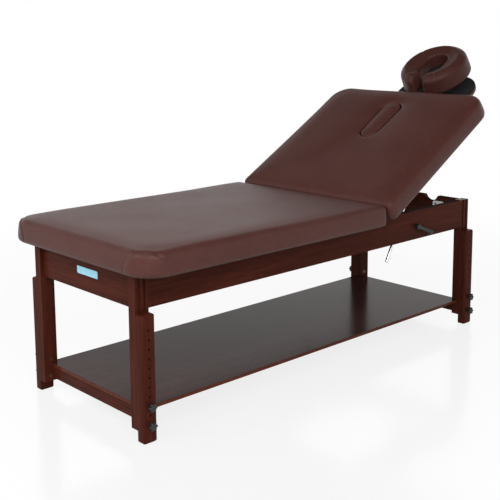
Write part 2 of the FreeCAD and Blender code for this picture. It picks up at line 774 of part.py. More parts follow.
def make_cradle_bar():
    half = bar_length / 2
    bar_top = post_axis_z + bar_above_post
    bar = block(bar_x, bar_x + bar_thickness, -half, half, base_top, bar_top)
    bore_radius = pivot_diameter / 2 + pin_clearance
    for sy in sides.values():
        y0 = sy * ear_y0
        y1 = sy * ear_y1
        arm = block(bar_x + bar_thickness / 2, tilt_x, y0, y1, tilt_z - bar_above_post, bar_top)
        bar = bar.fuse([arm, tilt_line(bar_above_post, y0, y1)])
        bar = bar.cut(tilt_line(bore_radius, y0 - sy * overshoot, y1 + sy * overshoot))
    return bar.removeSplitter()


def face_opening(margin, z0, height):
    return stadium(pad_x, face_length + 2 * margin, face_width + 2 * margin, z0, height)


def make_base_board():
    half = base_width / 2
    low = base_top - base_thickness
    radii = [base_foot_radius, base_corner_radius, base_corner_radius, base_foot_radius]
    board = rounded_plate(bar_x, back_head_x + base_head_reach, -half, half, low, base_thickness, radii)
    return board.cut(face_opening(base_face_margin, low - overshoot, base_thickness + 2 * overshoot))


def make_platform():
    board = Part.makeCylinder(platform_radius, platform_thickness, point(pad_x, 0, platform_z))
    through = platform_thickness + 2 * overshoot
    board = board.cut(face_opening(platform_face_margin, platform_z - overshoot, through))
    foot_x = pad_x - platform_radius - overshoot
    trim_top = platform_z + platform_thickness + overshoot
    half = platform_radius
    board = board.cut(block(foot_x, platform_flat_x, -half, half, platform_z - overshoot, trim_top))
    lug_top = platform_z + platform_thickness / 2
    bore_radius = pivot_diameter / 2 + pivot_clearance
    for sy in sides.values():
        y0 = sy * lug_y0
        y1 = sy * lug_y1
        lug = block(platform_flat_x, tilt_x + ear_radius, y0, y1, tilt_z, lug_top)
        board = board.fuse([lug, tilt_line(ear_radius, y0, y1)])
        board = board.cut(tilt_line(bore_radius, y0 - sy * overshoot, y1 + sy * overshoot))
    return board.removeSplitter()


def make_tilt_bolt(sy):
    shank = tilt_line(pivot_diameter / 2, sy * ear_y0, sy * lug_y1)
    inner_head = tilt_line(pivot_head_diameter / 2, sy * (ear_y0 - pivot_head_height), sy * ear_y0)
    washer = lug_y1 + ear_gap
    outer_neck = tilt_line(pivot_diameter / 2, sy * lug_y1, sy * washer)
    outer_head = tilt_line(pivot_head_diameter / 2, sy * washer, sy * (washer + pivot_head_height))
    return shank.fuse([inner_head, outer_neck, outer_head]).removeSplitter()


def pad_profile():
    # half of the ring's section before the face opening, from its middle out and back
    top = pad_z + pad_thickness
    slope = math.radians(pad_slope)
    foot = point(pad_radius - pad_foot_edge_radius, 0, platform_z + pad_foot_edge_radius)
    crest = point(pad_radius - pad_outer_edge_radius, 0, top - pad_outer_edge_radius)

    def on_arc(centre, radius, turn):
        return centre.add(point(radius * math.cos(turn), 0, radius * math.sin(turn)))

    def arc(centre, radius, start, end):
        turns = (start, (start + end) / 2, end)
        return Part.Arc(*[on_arc(centre, radius, turn) for turn in turns]).toShape()

    foot_arc = arc(foot, pad_foot_edge_radius, -math.pi / 2, 0)
    crest_arc = arc(crest, pad_outer_edge_radius, 0, math.pi / 2 + slope)
    ridge = on_arc(crest, pad_outer_edge_radius, math.pi / 2 + slope)
    middle_low = point(0, 0, platform_z)
    middle_top = point(0, 0, ridge.z - ridge.x * math.tan(slope))
    wall_low = on_arc(foot, pad_foot_edge_radius, 0)
    wall_top = on_arc(crest, pad_outer_edge_radius, 0)
    lines = [
        Part.makeLine(middle_low, on_arc(foot, pad_foot_edge_radius, -math.pi / 2)),
        foot_arc,
        Part.makeLine(wall_low, wall_top),
        crest_arc,
        Part.makeLine(ridge, middle_top),
        Part.makeLine(middle_top, middle_low),
    ]
    return Part.Face(Part.Wire(lines))


def make_pad():
    # a dished ring with a skirt round the platform, opened for the face and parted at the mouth
    pad = pad_profile().revolve(point(0, 0, 0), z_axis, 360)
    pad.translate(point(pad_x, 0, 0))
    height = platform_thickness + pad_thickness
    pad = pad.cut(face_opening(0, platform_z - overshoot, height + 2 * overshoot))
    middle_z = pad_z + pad_thickness / 2
    inner_rim = []
    for edge in pad.Edges:
        far = max(math.hypot(v.X - pad_x, v.Y) for v in edge.Vertexes)
        low = min(v.Z for v in edge.Vertexes)
        if far < pad_radius - pad_outer_edge_radius - overshoot and low > middle_z:
            inner_rim.append(edge)
    pad = pad.makeFillet(pad_inner_edge_radius, inner_rim)
    half_gap = mouth_gap / 2
    mouth_x = pad_x - pad_radius - overshoot
    mouth_top = pad_z + pad_thickness + overshoot
    low = platform_z - overshoot
    pad = pad.cut(block(mouth_x, pad_x, -half_gap, half_gap, low, mouth_top))
    pad = pad.cut(Part.makeCylinder(platform_radius + skirt_clearance, pad_z - low, point(pad_x, 0, low)))
    # the skirt leaves the bar and the tilt lugs free
    skirt_start = tilt_x + ear_radius + skirt_clearance
    return pad.cut(block(mouth_x, skirt_start, -pad_radius, pad_radius, low, pad_z))


socket = make_socket()
cradle_post = make_cradle_post()
nodes["cradle_socket_far"] = tilted(socket)
nodes["cradle_socket_near"] = tilted(across(socket))
nodes["cradle_post_far"] = tilted(cradle_post)
nodes["cradle_post_near"] = tilted(across(cradle_post))
nodes["cradle_bar"] = tilted(make_cradle_bar())
nodes["cradle_base_board"] = tilted(make_base_board())
nodes["cradle_platform"] = tilted(make_platform())
nodes["cradle_tilt_bolts"] = Part.makeCompound([tilted(make_tilt_bolt(sy)) for sy in sides.values()])
nodes["face_pad"] = tilted(make_pad())


# The origin lies on the floor under the middle of everything
whole = Part.makeCompound(list(nodes.values())).BoundBox
origin_shift = point(-whole.Center.x, -whole.Center.y, -whole.ZMin)
os.makedirs("parts", exist_ok=True)
for name, shape in nodes.items():
    placed = shape.copy()
    placed.translate(origin_shift)
    placed.exportStep("parts/" + name + ".step")
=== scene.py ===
import json
import math
import random

import bmesh
import bpy
import numpy as np
from mathutils import Matrix, Vector

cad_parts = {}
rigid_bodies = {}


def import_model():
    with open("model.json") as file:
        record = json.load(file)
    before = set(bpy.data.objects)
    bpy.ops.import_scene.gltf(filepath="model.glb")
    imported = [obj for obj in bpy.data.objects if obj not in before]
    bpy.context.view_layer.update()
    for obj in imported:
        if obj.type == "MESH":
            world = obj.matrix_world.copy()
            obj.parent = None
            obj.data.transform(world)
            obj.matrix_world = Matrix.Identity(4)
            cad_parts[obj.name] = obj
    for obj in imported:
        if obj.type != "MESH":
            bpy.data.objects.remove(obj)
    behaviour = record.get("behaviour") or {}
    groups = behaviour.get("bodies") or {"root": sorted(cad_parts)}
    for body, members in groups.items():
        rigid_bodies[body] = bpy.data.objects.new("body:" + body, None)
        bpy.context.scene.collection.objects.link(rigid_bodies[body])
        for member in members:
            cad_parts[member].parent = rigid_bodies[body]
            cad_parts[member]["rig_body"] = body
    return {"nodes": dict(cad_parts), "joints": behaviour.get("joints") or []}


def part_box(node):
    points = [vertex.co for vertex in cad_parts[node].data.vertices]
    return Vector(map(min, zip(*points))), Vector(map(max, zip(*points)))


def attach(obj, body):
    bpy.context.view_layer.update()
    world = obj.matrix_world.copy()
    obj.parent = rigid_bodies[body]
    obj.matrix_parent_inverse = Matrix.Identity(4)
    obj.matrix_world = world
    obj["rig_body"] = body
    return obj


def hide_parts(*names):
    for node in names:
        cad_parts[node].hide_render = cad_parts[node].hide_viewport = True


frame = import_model()
nodes = frame["nodes"]
joints = {j["name"]: j for j in frame["joints"]}
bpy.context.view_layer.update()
scene = bpy.context.scene
scene.view_settings.view_transform = "Standard"
random.seed(7)
print("frame loaded:", len(nodes), "nodes")

# places shared by several pieces
railLow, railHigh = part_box("side_rail_near")
tableMid = (railLow.x + railHigh.x) / 2
hingeAt = Vector(joints["backrest_tilt"]["pos_m"])
restTilt = math.radians(-joints["backrest_tilt"]["range_deg"][0])
tiltUp = (Matrix.Translation(hingeAt) @ Matrix.Rotation(-restTilt, 4, "Y")
          @ Matrix.Translation(-hingeAt))
tiltDown = tiltUp.inverted()
upFromBack = tiltUp.to_3x3() @ Vector((0, 0, 1))
lyingFlat = Matrix.Identity(4)
up, down = Vector((0, 0, 1)), Vector((0, 0, -1))
tiny = 1e-9  # keeps a division from failing


def flatBox(node):
    # box of a tilted node, as if the backrest lay flat
    co = [tiltDown @ v.co for v in nodes[node].data.vertices]
    low = Vector([min(c[i] for c in co) for i in range(3)])
    high = Vector([max(c[i] for c in co) for i in range(3)])
    return low, high


# shader helpers
def put(tree, socket, value):
    # a link from another node's socket, or a plain value
    if isinstance(value, bpy.types.NodeSocket):
        tree.links.new(value, socket)
    else:
        socket.default_value = value


def addNode(tree, kind, inputs=None, **settings):
    node = tree.nodes.new("ShaderNode" + kind)
    for key, value in settings.items():
        setattr(node, key, value)
    for key, value in (inputs or {}).items():
        put(tree, node.inputs[key], value)
    return node


def newGroup(name, inputs, outputs):
    group = bpy.data.node_groups.new(name, "ShaderNodeTree")
    for label, kind, value in inputs:
        socket = group.interface.new_socket(label, in_out="INPUT", socket_type="NodeSocket" + kind)
        socket.default_value = value
    for label, kind in outputs:
        group.interface.new_socket(label, in_out="OUTPUT", socket_type="NodeSocket" + kind)
    end = group.nodes.new("NodeGroupOutput")
    return group, group.nodes.new("NodeGroupInput").outputs, end.inputs


def ramp(tree, value, stops):
    node = addNode(tree, "ValToRGB", {"Fac": value})
    points = node.color_ramp.elements
    while len(points) < len(stops):
        points.new(0.5)
    for point, (at, shade) in zip(points, stops):
        point.position = at
        point.color = shade if len(shade) == 4 else (*shade, 1)
    return node.outputs["Color"]


def grey(level):
    return (level, level, level, 1)


def mixColor(tree, factor, a, b, blend="MIX"):
    node = addNode(tree, "Mix", {0: factor, 6: a, 7: b}, data_type="RGBA", blend_type=blend)
    return node.outputs[2]


def math2(tree, operation, a, b=0.0, clamp=False):
    node = addNode(tree, "Math", {0: a, 1: b}, operation=operation, use_clamp=clamp)
    return node.outputs[0]


def times(tree, a, b):
    return math2(tree, "MULTIPLY", a, b)


def plus(tree, a, b):
    return math2(tree, "ADD", a, b)


def noise(tree, place, scale, detail, output=0, **inputs):
    node = addNode(tree, "TexNoise", {"Vector": place, "Scale": scale, "Detail": detail, **inputs})
    return node.outputs[output]


def ownPlace(tree):
    return addNode(tree, "TexCoord").outputs["Object"]


def ownNormal(tree):
    # surface direction in the piece's own frame, so that it turns with the piece
    normal = addNode(tree, "NewGeometry").outputs["Normal"]
    return addNode(tree, "VectorTransform", {"Vector": normal}, vector_type="NORMAL",
                   convert_from="WORLD", convert_to="OBJECT").outputs[0]


def upPart(tree, vector):
    return addNode(tree, "SeparateXYZ", {"Vector": vector}).outputs["Z"]


figureLook = {"drift": 0.9, "driftShare": 0.45, "streak": 4.5, "streakShare": 0.6, "pore": 21.0,
              "poreTone": 0.45, "poreRough": 0.25, "roughness": 0.2, "roughSpread": 0.16}


def makeWoodFigure():
    # long streaks, slow colour drift and short dark pores along one direction
    look = figureLook
    group, given, result = newGroup(
        "woodFigure",
        [("Stretch", "Vector", (1, 1, 1)), ("Dark", "Color", grey(0.02)),
         ("Light", "Color", grey(0.1)), ("Pores", "Float", 0.6)],
        [("Color", "Color"), ("Roughness", "Float"), ("Height", "Float")])
    mapping = addNode(group, "Mapping", {"Vector": ownPlace(group), "Scale": given["Stretch"]})
    stretched = mapping.outputs[0]
    drift = noise(group, stretched, look["drift"], 3.0, Distortion=0.7)
    streak = noise(group, stretched, look["streak"], 8.0, Roughness=0.62, Distortion=0.35)
    pore = noise(group, stretched, look["pore"], 3.0, Roughness=0.7)
    blended = plus(group, times(group, drift, look["driftShare"]),
                   times(group, streak, look["streakShare"]))
    figure = ramp(group, blended, [(0.36, grey(0)), (0.5, grey(0.42)), (0.68, grey(1))])
    body = mixColor(group, figure, given["Dark"], given["Light"])
    poreMask = ramp(group, pore, [(0.36, grey(1)), (0.44, grey(0))])
    poreAmount = times(group, poreMask, given["Pores"])
    poreShade = mixColor(group, 1.0, given["Dark"], grey(look["poreTone"]), "MULTIPLY")
    put(group, result["Color"], mixColor(group, poreAmount, body, poreShade))
    rough = plus(group, times(group, streak, look["roughSpread"]), look["roughness"])
    rough = plus(group, rough, times(group, poreAmount, look["poreRough"]))
    put(group, result["Roughness"], rough)
    height = math2(group, "SUBTRACT", times(group, streak, 0.5), poreAmount)
    put(group, result["Height"], height)
    return group


grainLook = {"warp": 260.0, "warpBy": 0.0012, "fine": 2400.0, "slow": 5.0, "mottled": 45.0}


def makeHideGrain():
    # pebbled cells with fine creases, and a slow change of tone
    look = grainLook
    group, given, result = newGroup(
        "hideGrain", [("Cells", "Float", 620.0)],
        [("Tone", "Float"), ("Height", "Float"), ("Handled", "Float")])
    place = ownPlace(group)
    warp = noise(group, place, look["warp"], 2.0, output="Color")
    warped = addNode(group, "VectorMath", {0: warp, 1: (look["warpBy"],) * 3, 2: place},
                     operation="MULTIPLY_ADD").outputs[0]
    cells = addNode(group, "TexVoronoi", {"Vector": warped, "Scale": given["Cells"]},
                    feature="DISTANCE_TO_EDGE")
    pebble = ramp(group, cells.outputs["Distance"],
                  [(0.0, grey(0)), (0.16, grey(0.8)), (0.5, grey(1))])
    fine = noise(group, place, look["fine"], 2.0)
    put(group, result["Height"], plus(group, times(group, pebble, 0.8), times(group, fine, 0.25)))
    slow = noise(group, place, look["slow"], 4.0, Roughness=0.6)
    mottled = noise(group, place, look["mottled"], 3.0)
    put(group, result["Tone"], plus(group, times(group, slow, 0.6), times(group, mottled, 0.4)))
    put(group, result["Handled"], slow)
    return group


wearLook = {"scratchTurn": (0.5, 0.3, 0.8), "scratchScale": (40, 900, 900), "speck": 1400.0}


def makeSurfaceWear():
    # smudges and small scratches for roughness, specks for bump
    look = wearLook
    group, given, result = newGroup(
        "surfaceWear", [("Size", "Float", 14.0)],
        [("Smudge", "Float"), ("Scratch", "Float"), ("Speck", "Float")])
    place = ownPlace(group)
    put(group, result["Smudge"], noise(group, place, given["Size"], 5.0, Roughness=0.65))
    turned = addNode(group, "Mapping", {"Vector": place, "Rotation": look["scratchTurn"],
                                        "Scale": look["scratchScale"]}).outputs[0]
    scratch = noise(group, turned, 1.0, 2.0)
    put(group, result["Scratch"], ramp(group, scratch, [(0.66, grey(0)), (0.72, grey(1))]))
    put(group, result["Speck"], noise(group, place, look["speck"], 2.0))
    return group


def makeEdgeHighlightMask():
    # 1 along rounded edges, 0 on flats; it places the painted edge highlights
    group, given, result = newGroup("edgeHighlightMask", [("Reach", "Float", 0.002)], [("Mask", "Float")])
    rounded = addNode(group, "Bevel", {"Radius": given["Reach"]}, samples=4).outputs[0]
    plain = addNode(group, "NewGeometry").outputs["Normal"]
    along = addNode(group, "VectorMath", {0: rounded, 1: plain}, operation="DOT_PRODUCT")
    mask = ramp(group, along.outputs["Value"], [(0.72, grey(1)), (0.985, grey(0))])
    put(group, result["Mask"], mask)
    return group


woodFigure = makeWoodFigure()
hideGrain = makeHideGrain()
surfaceWear = makeSurfaceWear()
edgeHighlightMask = makeEdgeHighlightMask()


def newMaterial(name):
    material = bpy.data.materials.new(name)
    material.use_nodes = True
    tree = material.node_tree
    return material, tree, tree.nodes["Principled BSDF"]


def useGroup(tree, group, inputs=None):
    node = addNode(tree, "Group")
    node.node_tree = group
    for key, value in (inputs or {}).items():
        node.inputs[key].default_value = value
    return node.outputs


def bumpFrom(tree, shader, height, strength, distance):
    bump = addNode(tree, "Bump", {"Height": height, "Strength": strength, "Distance": distance})
    tree.links.new(bump.outputs[0], shader.inputs["Normal"])


def feed(tree, shader, **values):
    for key, value in values.items():
        put(tree, shader.inputs[key.replace("_", " ")], value)


# stained hardwood
woodLook = {
    "dark": (0.036, 0.008, 0.0045, 1), "light": (0.076, 0.0175, 0.0098, 1),
    # edge is the colour of a painted highlight along the rounded edges
    "edge": (0.12, 0.034, 0.022, 1), "edgeReach": 0.0022, "edgeHighlightShare": 0.5,
    # pale colour for the posts' up-facing tops: end grain plus a painted highlight
    "endGrainAndHighlight": (0.15, 0.085, 0.06, 1), "facesUp": 0.8,
    "footPad": (0.012, 0.011, 0.011, 1), "footPadHeight": 0.0045, "footPadRough": 0.4,
    # dark colour and extra roughness for the rails' top faces
    "railTopDark": (0.008, 0.006, 0.006, 1), "railTopFrom": 0.4, "railTopRough": 0.6,
    "along": 1.3, "across": 20.0, "pores": 0.28,
    "gloss": 0.025, "coat": 0.01, "coatRoughness": 0.12, "bump": 0.15, "bumpDepth": 0.0003,
}


def makeStainedWood(name, direction):
    # direction x, y or z is the way the grain runs
    look = woodLook
    material, tree, shader = newMaterial("stainedWood_" + name)
    stretch = [look["along"] if axis == direction else look["across"] for axis in "xyz"]
    wood = useGroup(tree, woodFigure, {"Stretch": stretch, "Dark": look["dark"],
                                       "Light": look["light"], "Pores": look["pores"]})
    # painted highlight: the rounded edges are mixed towards a lighter colour
    edge = useGroup(tree, edgeHighlightMask, {"Reach": look["edgeReach"]})["Mask"]
    shade = mixColor(tree, times(tree, edge, look["edgeHighlightShare"]), wood["Color"], look["edge"])
    rough = wood["Roughness"]
    if name == "leg":  # black pads under the feet
        pad = math2(tree, "LESS_THAN", upPart(tree, ownPlace(tree)), look["footPadHeight"])
        shade = mixColor(tree, pad, shade, look["footPad"])
        rough = plus(tree, rough, times(tree, pad, look["footPadRough"]))
    else:
        top = math2(tree, "GREATER_THAN", upPart(tree, ownNormal(tree)), look["facesUp"])
        if name == "post":
            # the posts' up-facing tops get a pale colour: end grain plus a painted highlight
            shade = mixColor(tree, top, shade, look["endGrainAndHighlight"])
        else:  # the rails' top faces are made darker and rougher
            high = math2(tree, "GREATER_THAN", upPart(tree, ownPlace(tree)), look["railTopFrom"])
            railTopDark = times(tree, top, high)
            shade = mixColor(tree, railTopDark, shade, look["railTopDark"])
            rough = plus(tree, rough, times(tree, railTopDark, look["railTopRough"]))
    feed(tree, shader, Base_Color=shade, Roughness=rough, Coat_Weight=look["coat"],
         Coat_Roughness=look["coatRoughness"], Specular_IOR_Level=look["gloss"])
    bumpFrom(tree, shader, wood["Height"], look["bump"], look["bumpDepth"])
    return material


# shelf: glossy dark veneer with a warm lipping round its edge
shelfLook = {
    "dark": (0.028, 0.0105, 0.009, 1), "light": (0.052, 0.021, 0.018, 1), "pores": 0.25,
    "stretch": (1.1, 17, 17), "lipping": (0.14, 0.035, 0.017, 1), "lippingStretch": (2, 60, 60),
    "sideUnder": 0.6, "smudges": 6.0, "roughness": 0.13, "roughSpread": 0.12,
    "gloss": 0.06, "coat": 0.012, "coatRoughness": 0.06, "bump": 0.06, "bumpDepth": 0.0003,
}


def makeShelfBoard():
    look = shelfLook
    material, tree, shader = newMaterial("shelfBoard")
    wood = useGroup(tree, woodFigure, {"Stretch": look["stretch"], "Dark": look["dark"],
                                       "Light": look["light"], "Pores": look["pores"]})
    lipping = useGroup(tree, woodFigure, {"Stretch": look["lippingStretch"],
                                          "Dark": woodLook["dark"], "Light": look["lipping"]})
    facing = math2(tree, "ABSOLUTE", upPart(tree, ownNormal(tree)))
    side = math2(tree, "LESS_THAN", facing, look["sideUnder"])
    smudge = useGroup(tree, surfaceWear, {"Size": look["smudges"]})["Smudge"]
    feed(tree, shader, Base_Color=mixColor(tree, side, wood["Color"], lipping["Color"]),
         Roughness=plus(tree, times(tree, smudge, look["roughSpread"]), look["roughness"]),
         Coat_Weight=look["coat"], Coat_Roughness=look["coatRoughness"],
         Specular_IOR_Level=look["gloss"])
    bumpFrom(tree, shader, wood["Height"], look["bump"], look["bumpDepth"])
    return material


# stained plywood under the cushions
plyLook = {"dark": (0.02, 0.009, 0.006, 1), "light": (0.06, 0.028, 0.018, 1), "pores": 0.3,
           "stretch": (1.4, 15, 120), "rougher": 0.32, "bump": 0.3, "bumpDepth": 0.0005}


def makePlywood():
    look = plyLook
    material, tree, shader = newMaterial("plywood")
    wood = useGroup(tree, woodFigure, {"Stretch": look["stretch"], "Dark": look["dark"],
                                       "Light": look["light"], "Pores": look["pores"]})
    feed(tree, shader, Base_Color=wood["Color"],
         Roughness=plus(tree, wood["Roughness"], look["rougher"]))
    bumpFrom(tree, shader, wood["Height"], look["bump"], look["bumpDepth"])
    return material


# coated upholstery, with a darker copy of it on the face pad as painted shade
vinylLook = {
    "deep": (0.059, 0.0188, 0.0148), "plain": (0.072, 0.0235, 0.0185),
    "worn": (0.083, 0.0288, 0.0232), "creaseShadeShare": 0.35, "creaseRough": 0.1,
    "roughness": 0.29, "handledRough": 0.14, "gloss": 0.18, "padPaintedShade": 0.78, "padGloss": 0.12,
    "bump": 0.22, "bumpDepth": 0.0004,
}


def makeVinyl(name, level, gloss):
    look = vinylLook
    material, tree, shader = newMaterial(name)
    deep, plain, worn = [tuple(part * level for part in look[tone]) + (1,)
                         for tone in ("deep", "plain", "worn")]
    grain = useGroup(tree, hideGrain)
    tone = ramp(tree, grain["Tone"], [(0.3, deep), (0.5, plain), (0.72, worn)])
    crease = math2(tree, "SUBTRACT", 1.0, grain["Height"], True)
    # painted shade: the grain's creases are darkened towards the deep tone
    shade = mixColor(tree, times(tree, crease, look["creaseShadeShare"]), tone, deep)
    rough = plus(tree, times(tree, grain["Handled"], look["handledRough"]), look["roughness"])
    rough = plus(tree, rough, times(tree, crease, look["creaseRough"]))
    feed(tree, shader, Base_Color=shade, Roughness=rough, Specular_IOR_Level=gloss)
    bumpFrom(tree, shader, grain["Height"], look["bump"], look["bumpDepth"])
    return material


# thread, plastic, metals and the label: two tones with smudges, specks and a fine bump
finishLooks = {
    "seamThread": {"low": (0.05, 0.022, 0.018), "high": (0.12, 0.06, 0.05), "size": 300.0,
                   "roughness": 0.45, "spread": 0.3, "bump": 0.3, "bumpDepth": 0.0003,
                   "roughBy": "Speck"},
    "blackPlastic": {"low": (0.007, 0.0085, 0.0075), "high": (0.013, 0.0155, 0.014),
                     "highAt": 0.75, "size": 30.0, "roughness": 0.4, "spread": 0.2, "bump": 0.25,
                     # edge is the grey of a painted highlight along the rounded edges
                     "bumpDepth": 0.0002, "edge": grey(0.09), "edgeHighlightShare": 0.35,
                     "edgeReach": 0.0012},
    "labelBlue": {"low": (0.27, 0.6, 0.76), "high": (0.33, 0.67, 0.82), "size": 60.0,
                  "roughness": 0.25, "spread": 0.2, "bump": 0.1, "bumpDepth": 0.0001},
}
metalLook = {"size": 22.0, "spread": 0.14, "bump": 0.08, "bumpDepth": 0.0001}
for metal, low, high, roughness, scratches in (
        ("zincPlate", (0.42, 0.43, 0.45), (0.62, 0.62, 0.62), 0.27, 0.2),
        ("chromeRod", (0.68, 0.69, 0.71), (0.78, 0.78, 0.79), 0.04, 0.12),
        ("brassInsert", (0.16, 0.085, 0.04), (0.26, 0.15, 0.07), 0.35, 0.2),
        ("blackSteel", (0.03, 0.03, 0.03), (0.06, 0.058, 0.056), 0.35, 0.2)):
    finishLooks[metal] = {**metalLook, "low": low, "high": high, "roughness": roughness,
                          "scratches": scratches}


def makeFinish(name):
    look = finishLooks[name]
    material, tree, shader = newMaterial(name)
    wear = useGroup(tree, surfaceWear, {"Size": look["size"]})
    tone = ramp(tree, wear["Smudge"], [(0.3, look["low"]), (look.get("highAt", 0.7), look["high"])])
    # painted highlight: the rounded edges are mixed towards a lighter grey
    if "edge" in look:
        edge = useGroup(tree, edgeHighlightMask, {"Reach": look["edgeReach"]})["Mask"]
        tone = mixColor(tree, times(tree, edge, look["edgeHighlightShare"]), tone, look["edge"])
    spread = times(tree, wear[look.get("roughBy", "Smudge")], look["spread"])
    rough = plus(tree, spread, look["roughness"])
    if "scratches" in look:
        rough = plus(tree, rough, times(tree, wear["Scratch"], look["scratches"]))
        feed(tree, shader, Metallic=1.0)
    feed(tree, shader, Base_Color=tone, Roughness=rough)
    bumpFrom(tree, shader, wear["Speck"], look["bump"], look["bumpDepth"])
    return material


# black-painted board with a bare brown edge, in line with the backrest
boardLook = {
    "low": (0.012, 0.011, 0.011), "high": (0.024, 0.022, 0.022), "smudges": 18.0,
    "edgeDark": (0.06, 0.022, 0.015, 1), "edgeLight": (0.19, 0.085, 0.055, 1),
    "edgeStretch": (3, 8, 90), "sideUnder": 0.6, "bareFrom": 0.14,
    "roughness": 0.32, "roughSpread": 0.25, "gloss": 0.12, "bump": 0.2, "bumpDepth": 0.0003,
}


def makeCradleBoard():
    look = boardLook
    material, tree, shader = newMaterial("cradleBoard")
    wear = useGroup(tree, surfaceWear, {"Size": look["smudges"]})
    black = ramp(tree, wear["Smudge"], [(0.3, look["low"]), (0.75, look["high"])])
    edgeWood = useGroup(tree, woodFigure, {"Stretch": look["edgeStretch"],
                                           "Dark": look["edgeDark"], "Light": look["edgeLight"]})
    facing = addNode(tree, "VectorMath", {0: ownNormal(tree), 1: tuple(upFromBack)},
                     operation="DOT_PRODUCT").outputs["Value"]
    side = math2(tree, "LESS_THAN", math2(tree, "ABSOLUTE", facing), look["sideUnder"])
    # inside the face opening the edge is painted too
    low, high = flatBox("face_pad")
    padCentre = tuple(tiltUp @ ((low + high) / 2))
    away = addNode(tree, "VectorMath", {0: ownPlace(tree), 1: padCentre}, operation="DISTANCE")
    outside = math2(tree, "GREATER_THAN", away.outputs["Value"], look["bareFrom"])
    shade = mixColor(tree, times(tree, side, outside), black, edgeWood["Color"])
    rough = plus(tree, times(tree, wear["Smudge"], look["roughSpread"]), look["roughness"])
    feed(tree, shader, Base_Color=shade, Roughness=rough, Specular_IOR_Level=look["gloss"])
    bumpFrom(tree, shader, wear["Speck"], look["bump"], look["bumpDepth"])
    return material


grainWays = {"long": "x", "wide": "y", "post": "z", "leg": "z"}
woods = {name: makeStainedWood(name, way) for name, way in grainWays.items()}
shelfBoard = makeShelfBoard()
plywood = makePlywood()
vinyl = makeVinyl("brownVinyl", 1.0, vinylLook["gloss"])
# the face pad's vinyl is the same vinyl darkened: painted shade
padVinyl = makeVinyl("brownVinylPadShaded", vinylLook["padPaintedShade"], vinylLook["padGloss"])
thread = makeFinish("seamThread")
blackPlastic = makeFinish("blackPlastic")
zinc = makeFinish("zincPlate")
chrome = makeFinish("chromeRod")
brass = makeFinish("brassInsert")
blackSteel = makeFinish("blackSteel")
cradleBoard = makeCradleBoard()
labelFinish = makeFinish("labelBlue")
print("materials made:", len(bpy.data.materials))


# CAD nodes that stay in view
edgeLook = {"wood": 0.0018, "shelf": 0.0012, "board": 0.001, "plastic": 0.0008, "metal": 0.0004,
            "insert": 0.0003, "rod": 0, "weld": 0.00002, "angle": math.radians(40)}
woodNodes = {
    "long": ["side_rail_near", "side_rail_far", "shelf_bearer"],
    "wide": ["foot_rail", "head_rail", "hinge_cross_rail", "seat_cross_rail",
             "shelf_stretcher_foot", "shelf_stretcher_head"],
    "post": ["corner_blocks"],
    "leg": [],
}
for node in nodes:
    kind = node.split("_")[0]
    if kind in ("post", "leg"):
        woodNodes[kind].append(node)


def bothSides(*names):
    return [name + side for name in names for side in ("near", "far")]


otherNodes = [
    (shelfBoard, "shelf", ["shelf"]),
    (plywood, "board", ["seat_deck", "backrest_deck"]),
    (zinc, "metal", ["corner_bolts", "hinge_leaves_seat", "hinge_leaves_backrest", "hinge_pins",
                     "clamp_spacers", "head_rail_plates", "cradle_tilt_bolts"]),
    (zinc, "metal", bothSides("clamp_cheek_", "clamp_pressure_plate_", "prop_rod_bracket_",
                              "prop_rod_pin_")),
    (brass, "insert", ["knob_inserts"]),
    (cradleBoard, "board", ["cradle_base_board", "cradle_platform", "cradle_bar"]),
    (chrome, "rod", bothSides("prop_rod_", "cradle_post_")),
    (blackPlastic, "plastic", bothSides("cradle_socket_")),
]


def roundEdges(piece, name, width):
    soften = piece.modifiers.new(name, "BEVEL")
    soften.width = width
    soften.segments = 2
    soften.limit_method = "ANGLE"
    soften.angle_limit = edgeLook["angle"]
    return soften


def dressNode(name, material, edge):
    node = nodes[name]
    node.data.materials.clear()
    node.data.materials.append(material)
    if edge > 0:
        weld = node.modifiers.new("joinEdges", "WELD")
        weld.merge_threshold = edgeLook["weld"]
        soften = roundEdges(node, "roundEdges", edge)
        soften.use_clamp_overlap = True
        soften.harden_normals = True


for direction, names in woodNodes.items():
    for name in names:
        dressNode(name, woods[direction], edgeLook["wood"])
for material, edge, names in otherNodes:
    for name in names:
        dressNode(name, material, edgeLook[edge])
print("CAD nodes dressed")


# mesh helpers
def newObject(name, data):
    thing = bpy.data.objects.new(name, data)
    scene.collection.objects.link(thing)
    return thing


def newMesh(name, verts, faces, materials):
    mesh = bpy.data.meshes.new(name)
    mesh.from_pydata([tuple(v) for v in verts], [], faces)
    for material in materials:
        mesh.materials.append(material)
    return mesh


def newPiece(name, verts, faces, materials, body, smooth=True, faceSlots=None):
    mesh = newMesh(name, verts, faces, materials)
    if faceSlots:
        mesh.polygons.foreach_set("material_index", faceSlots)
    mesh.polygons.foreach_set("use_smooth", [smooth] * len(mesh.polygons))
    mesh.update()
    piece = newObject(name, mesh)
    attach(piece, body)
    return piece


def fixNormals(mesh):
    bm = bmesh.new()
    bm.from_mesh(mesh)
    bmesh.ops.recalc_face_normals(bm, faces=bm.faces)
    bm.to_mesh(mesh)
    bm.free()


def loft(rings, closeStart=True):
    # rings of equal length, each a list of points, joined in turn
    count = len(rings[0])
    verts = [p for ring in rings for p in ring]
    faces = []
    for start in range(0, len(verts) - count, count):
        for k in range(count):
            n = (k + 1) % count
            faces.append((start + k, start + n, start + count + n, start + count + k))
    if closeStart:
        faces.append(tuple(reversed(range(count))))
    faces.append(tuple(range(len(verts) - count, len(verts))))
    return verts, faces


def addLoft(verts, faces, rings, closeStart=True):
    # one more loft in the same mesh
    base = len(verts)
    more, joined = loft(rings, closeStart)
    verts += more
    faces += [tuple(base + k for k in face) for face in joined]
    return len(joined)


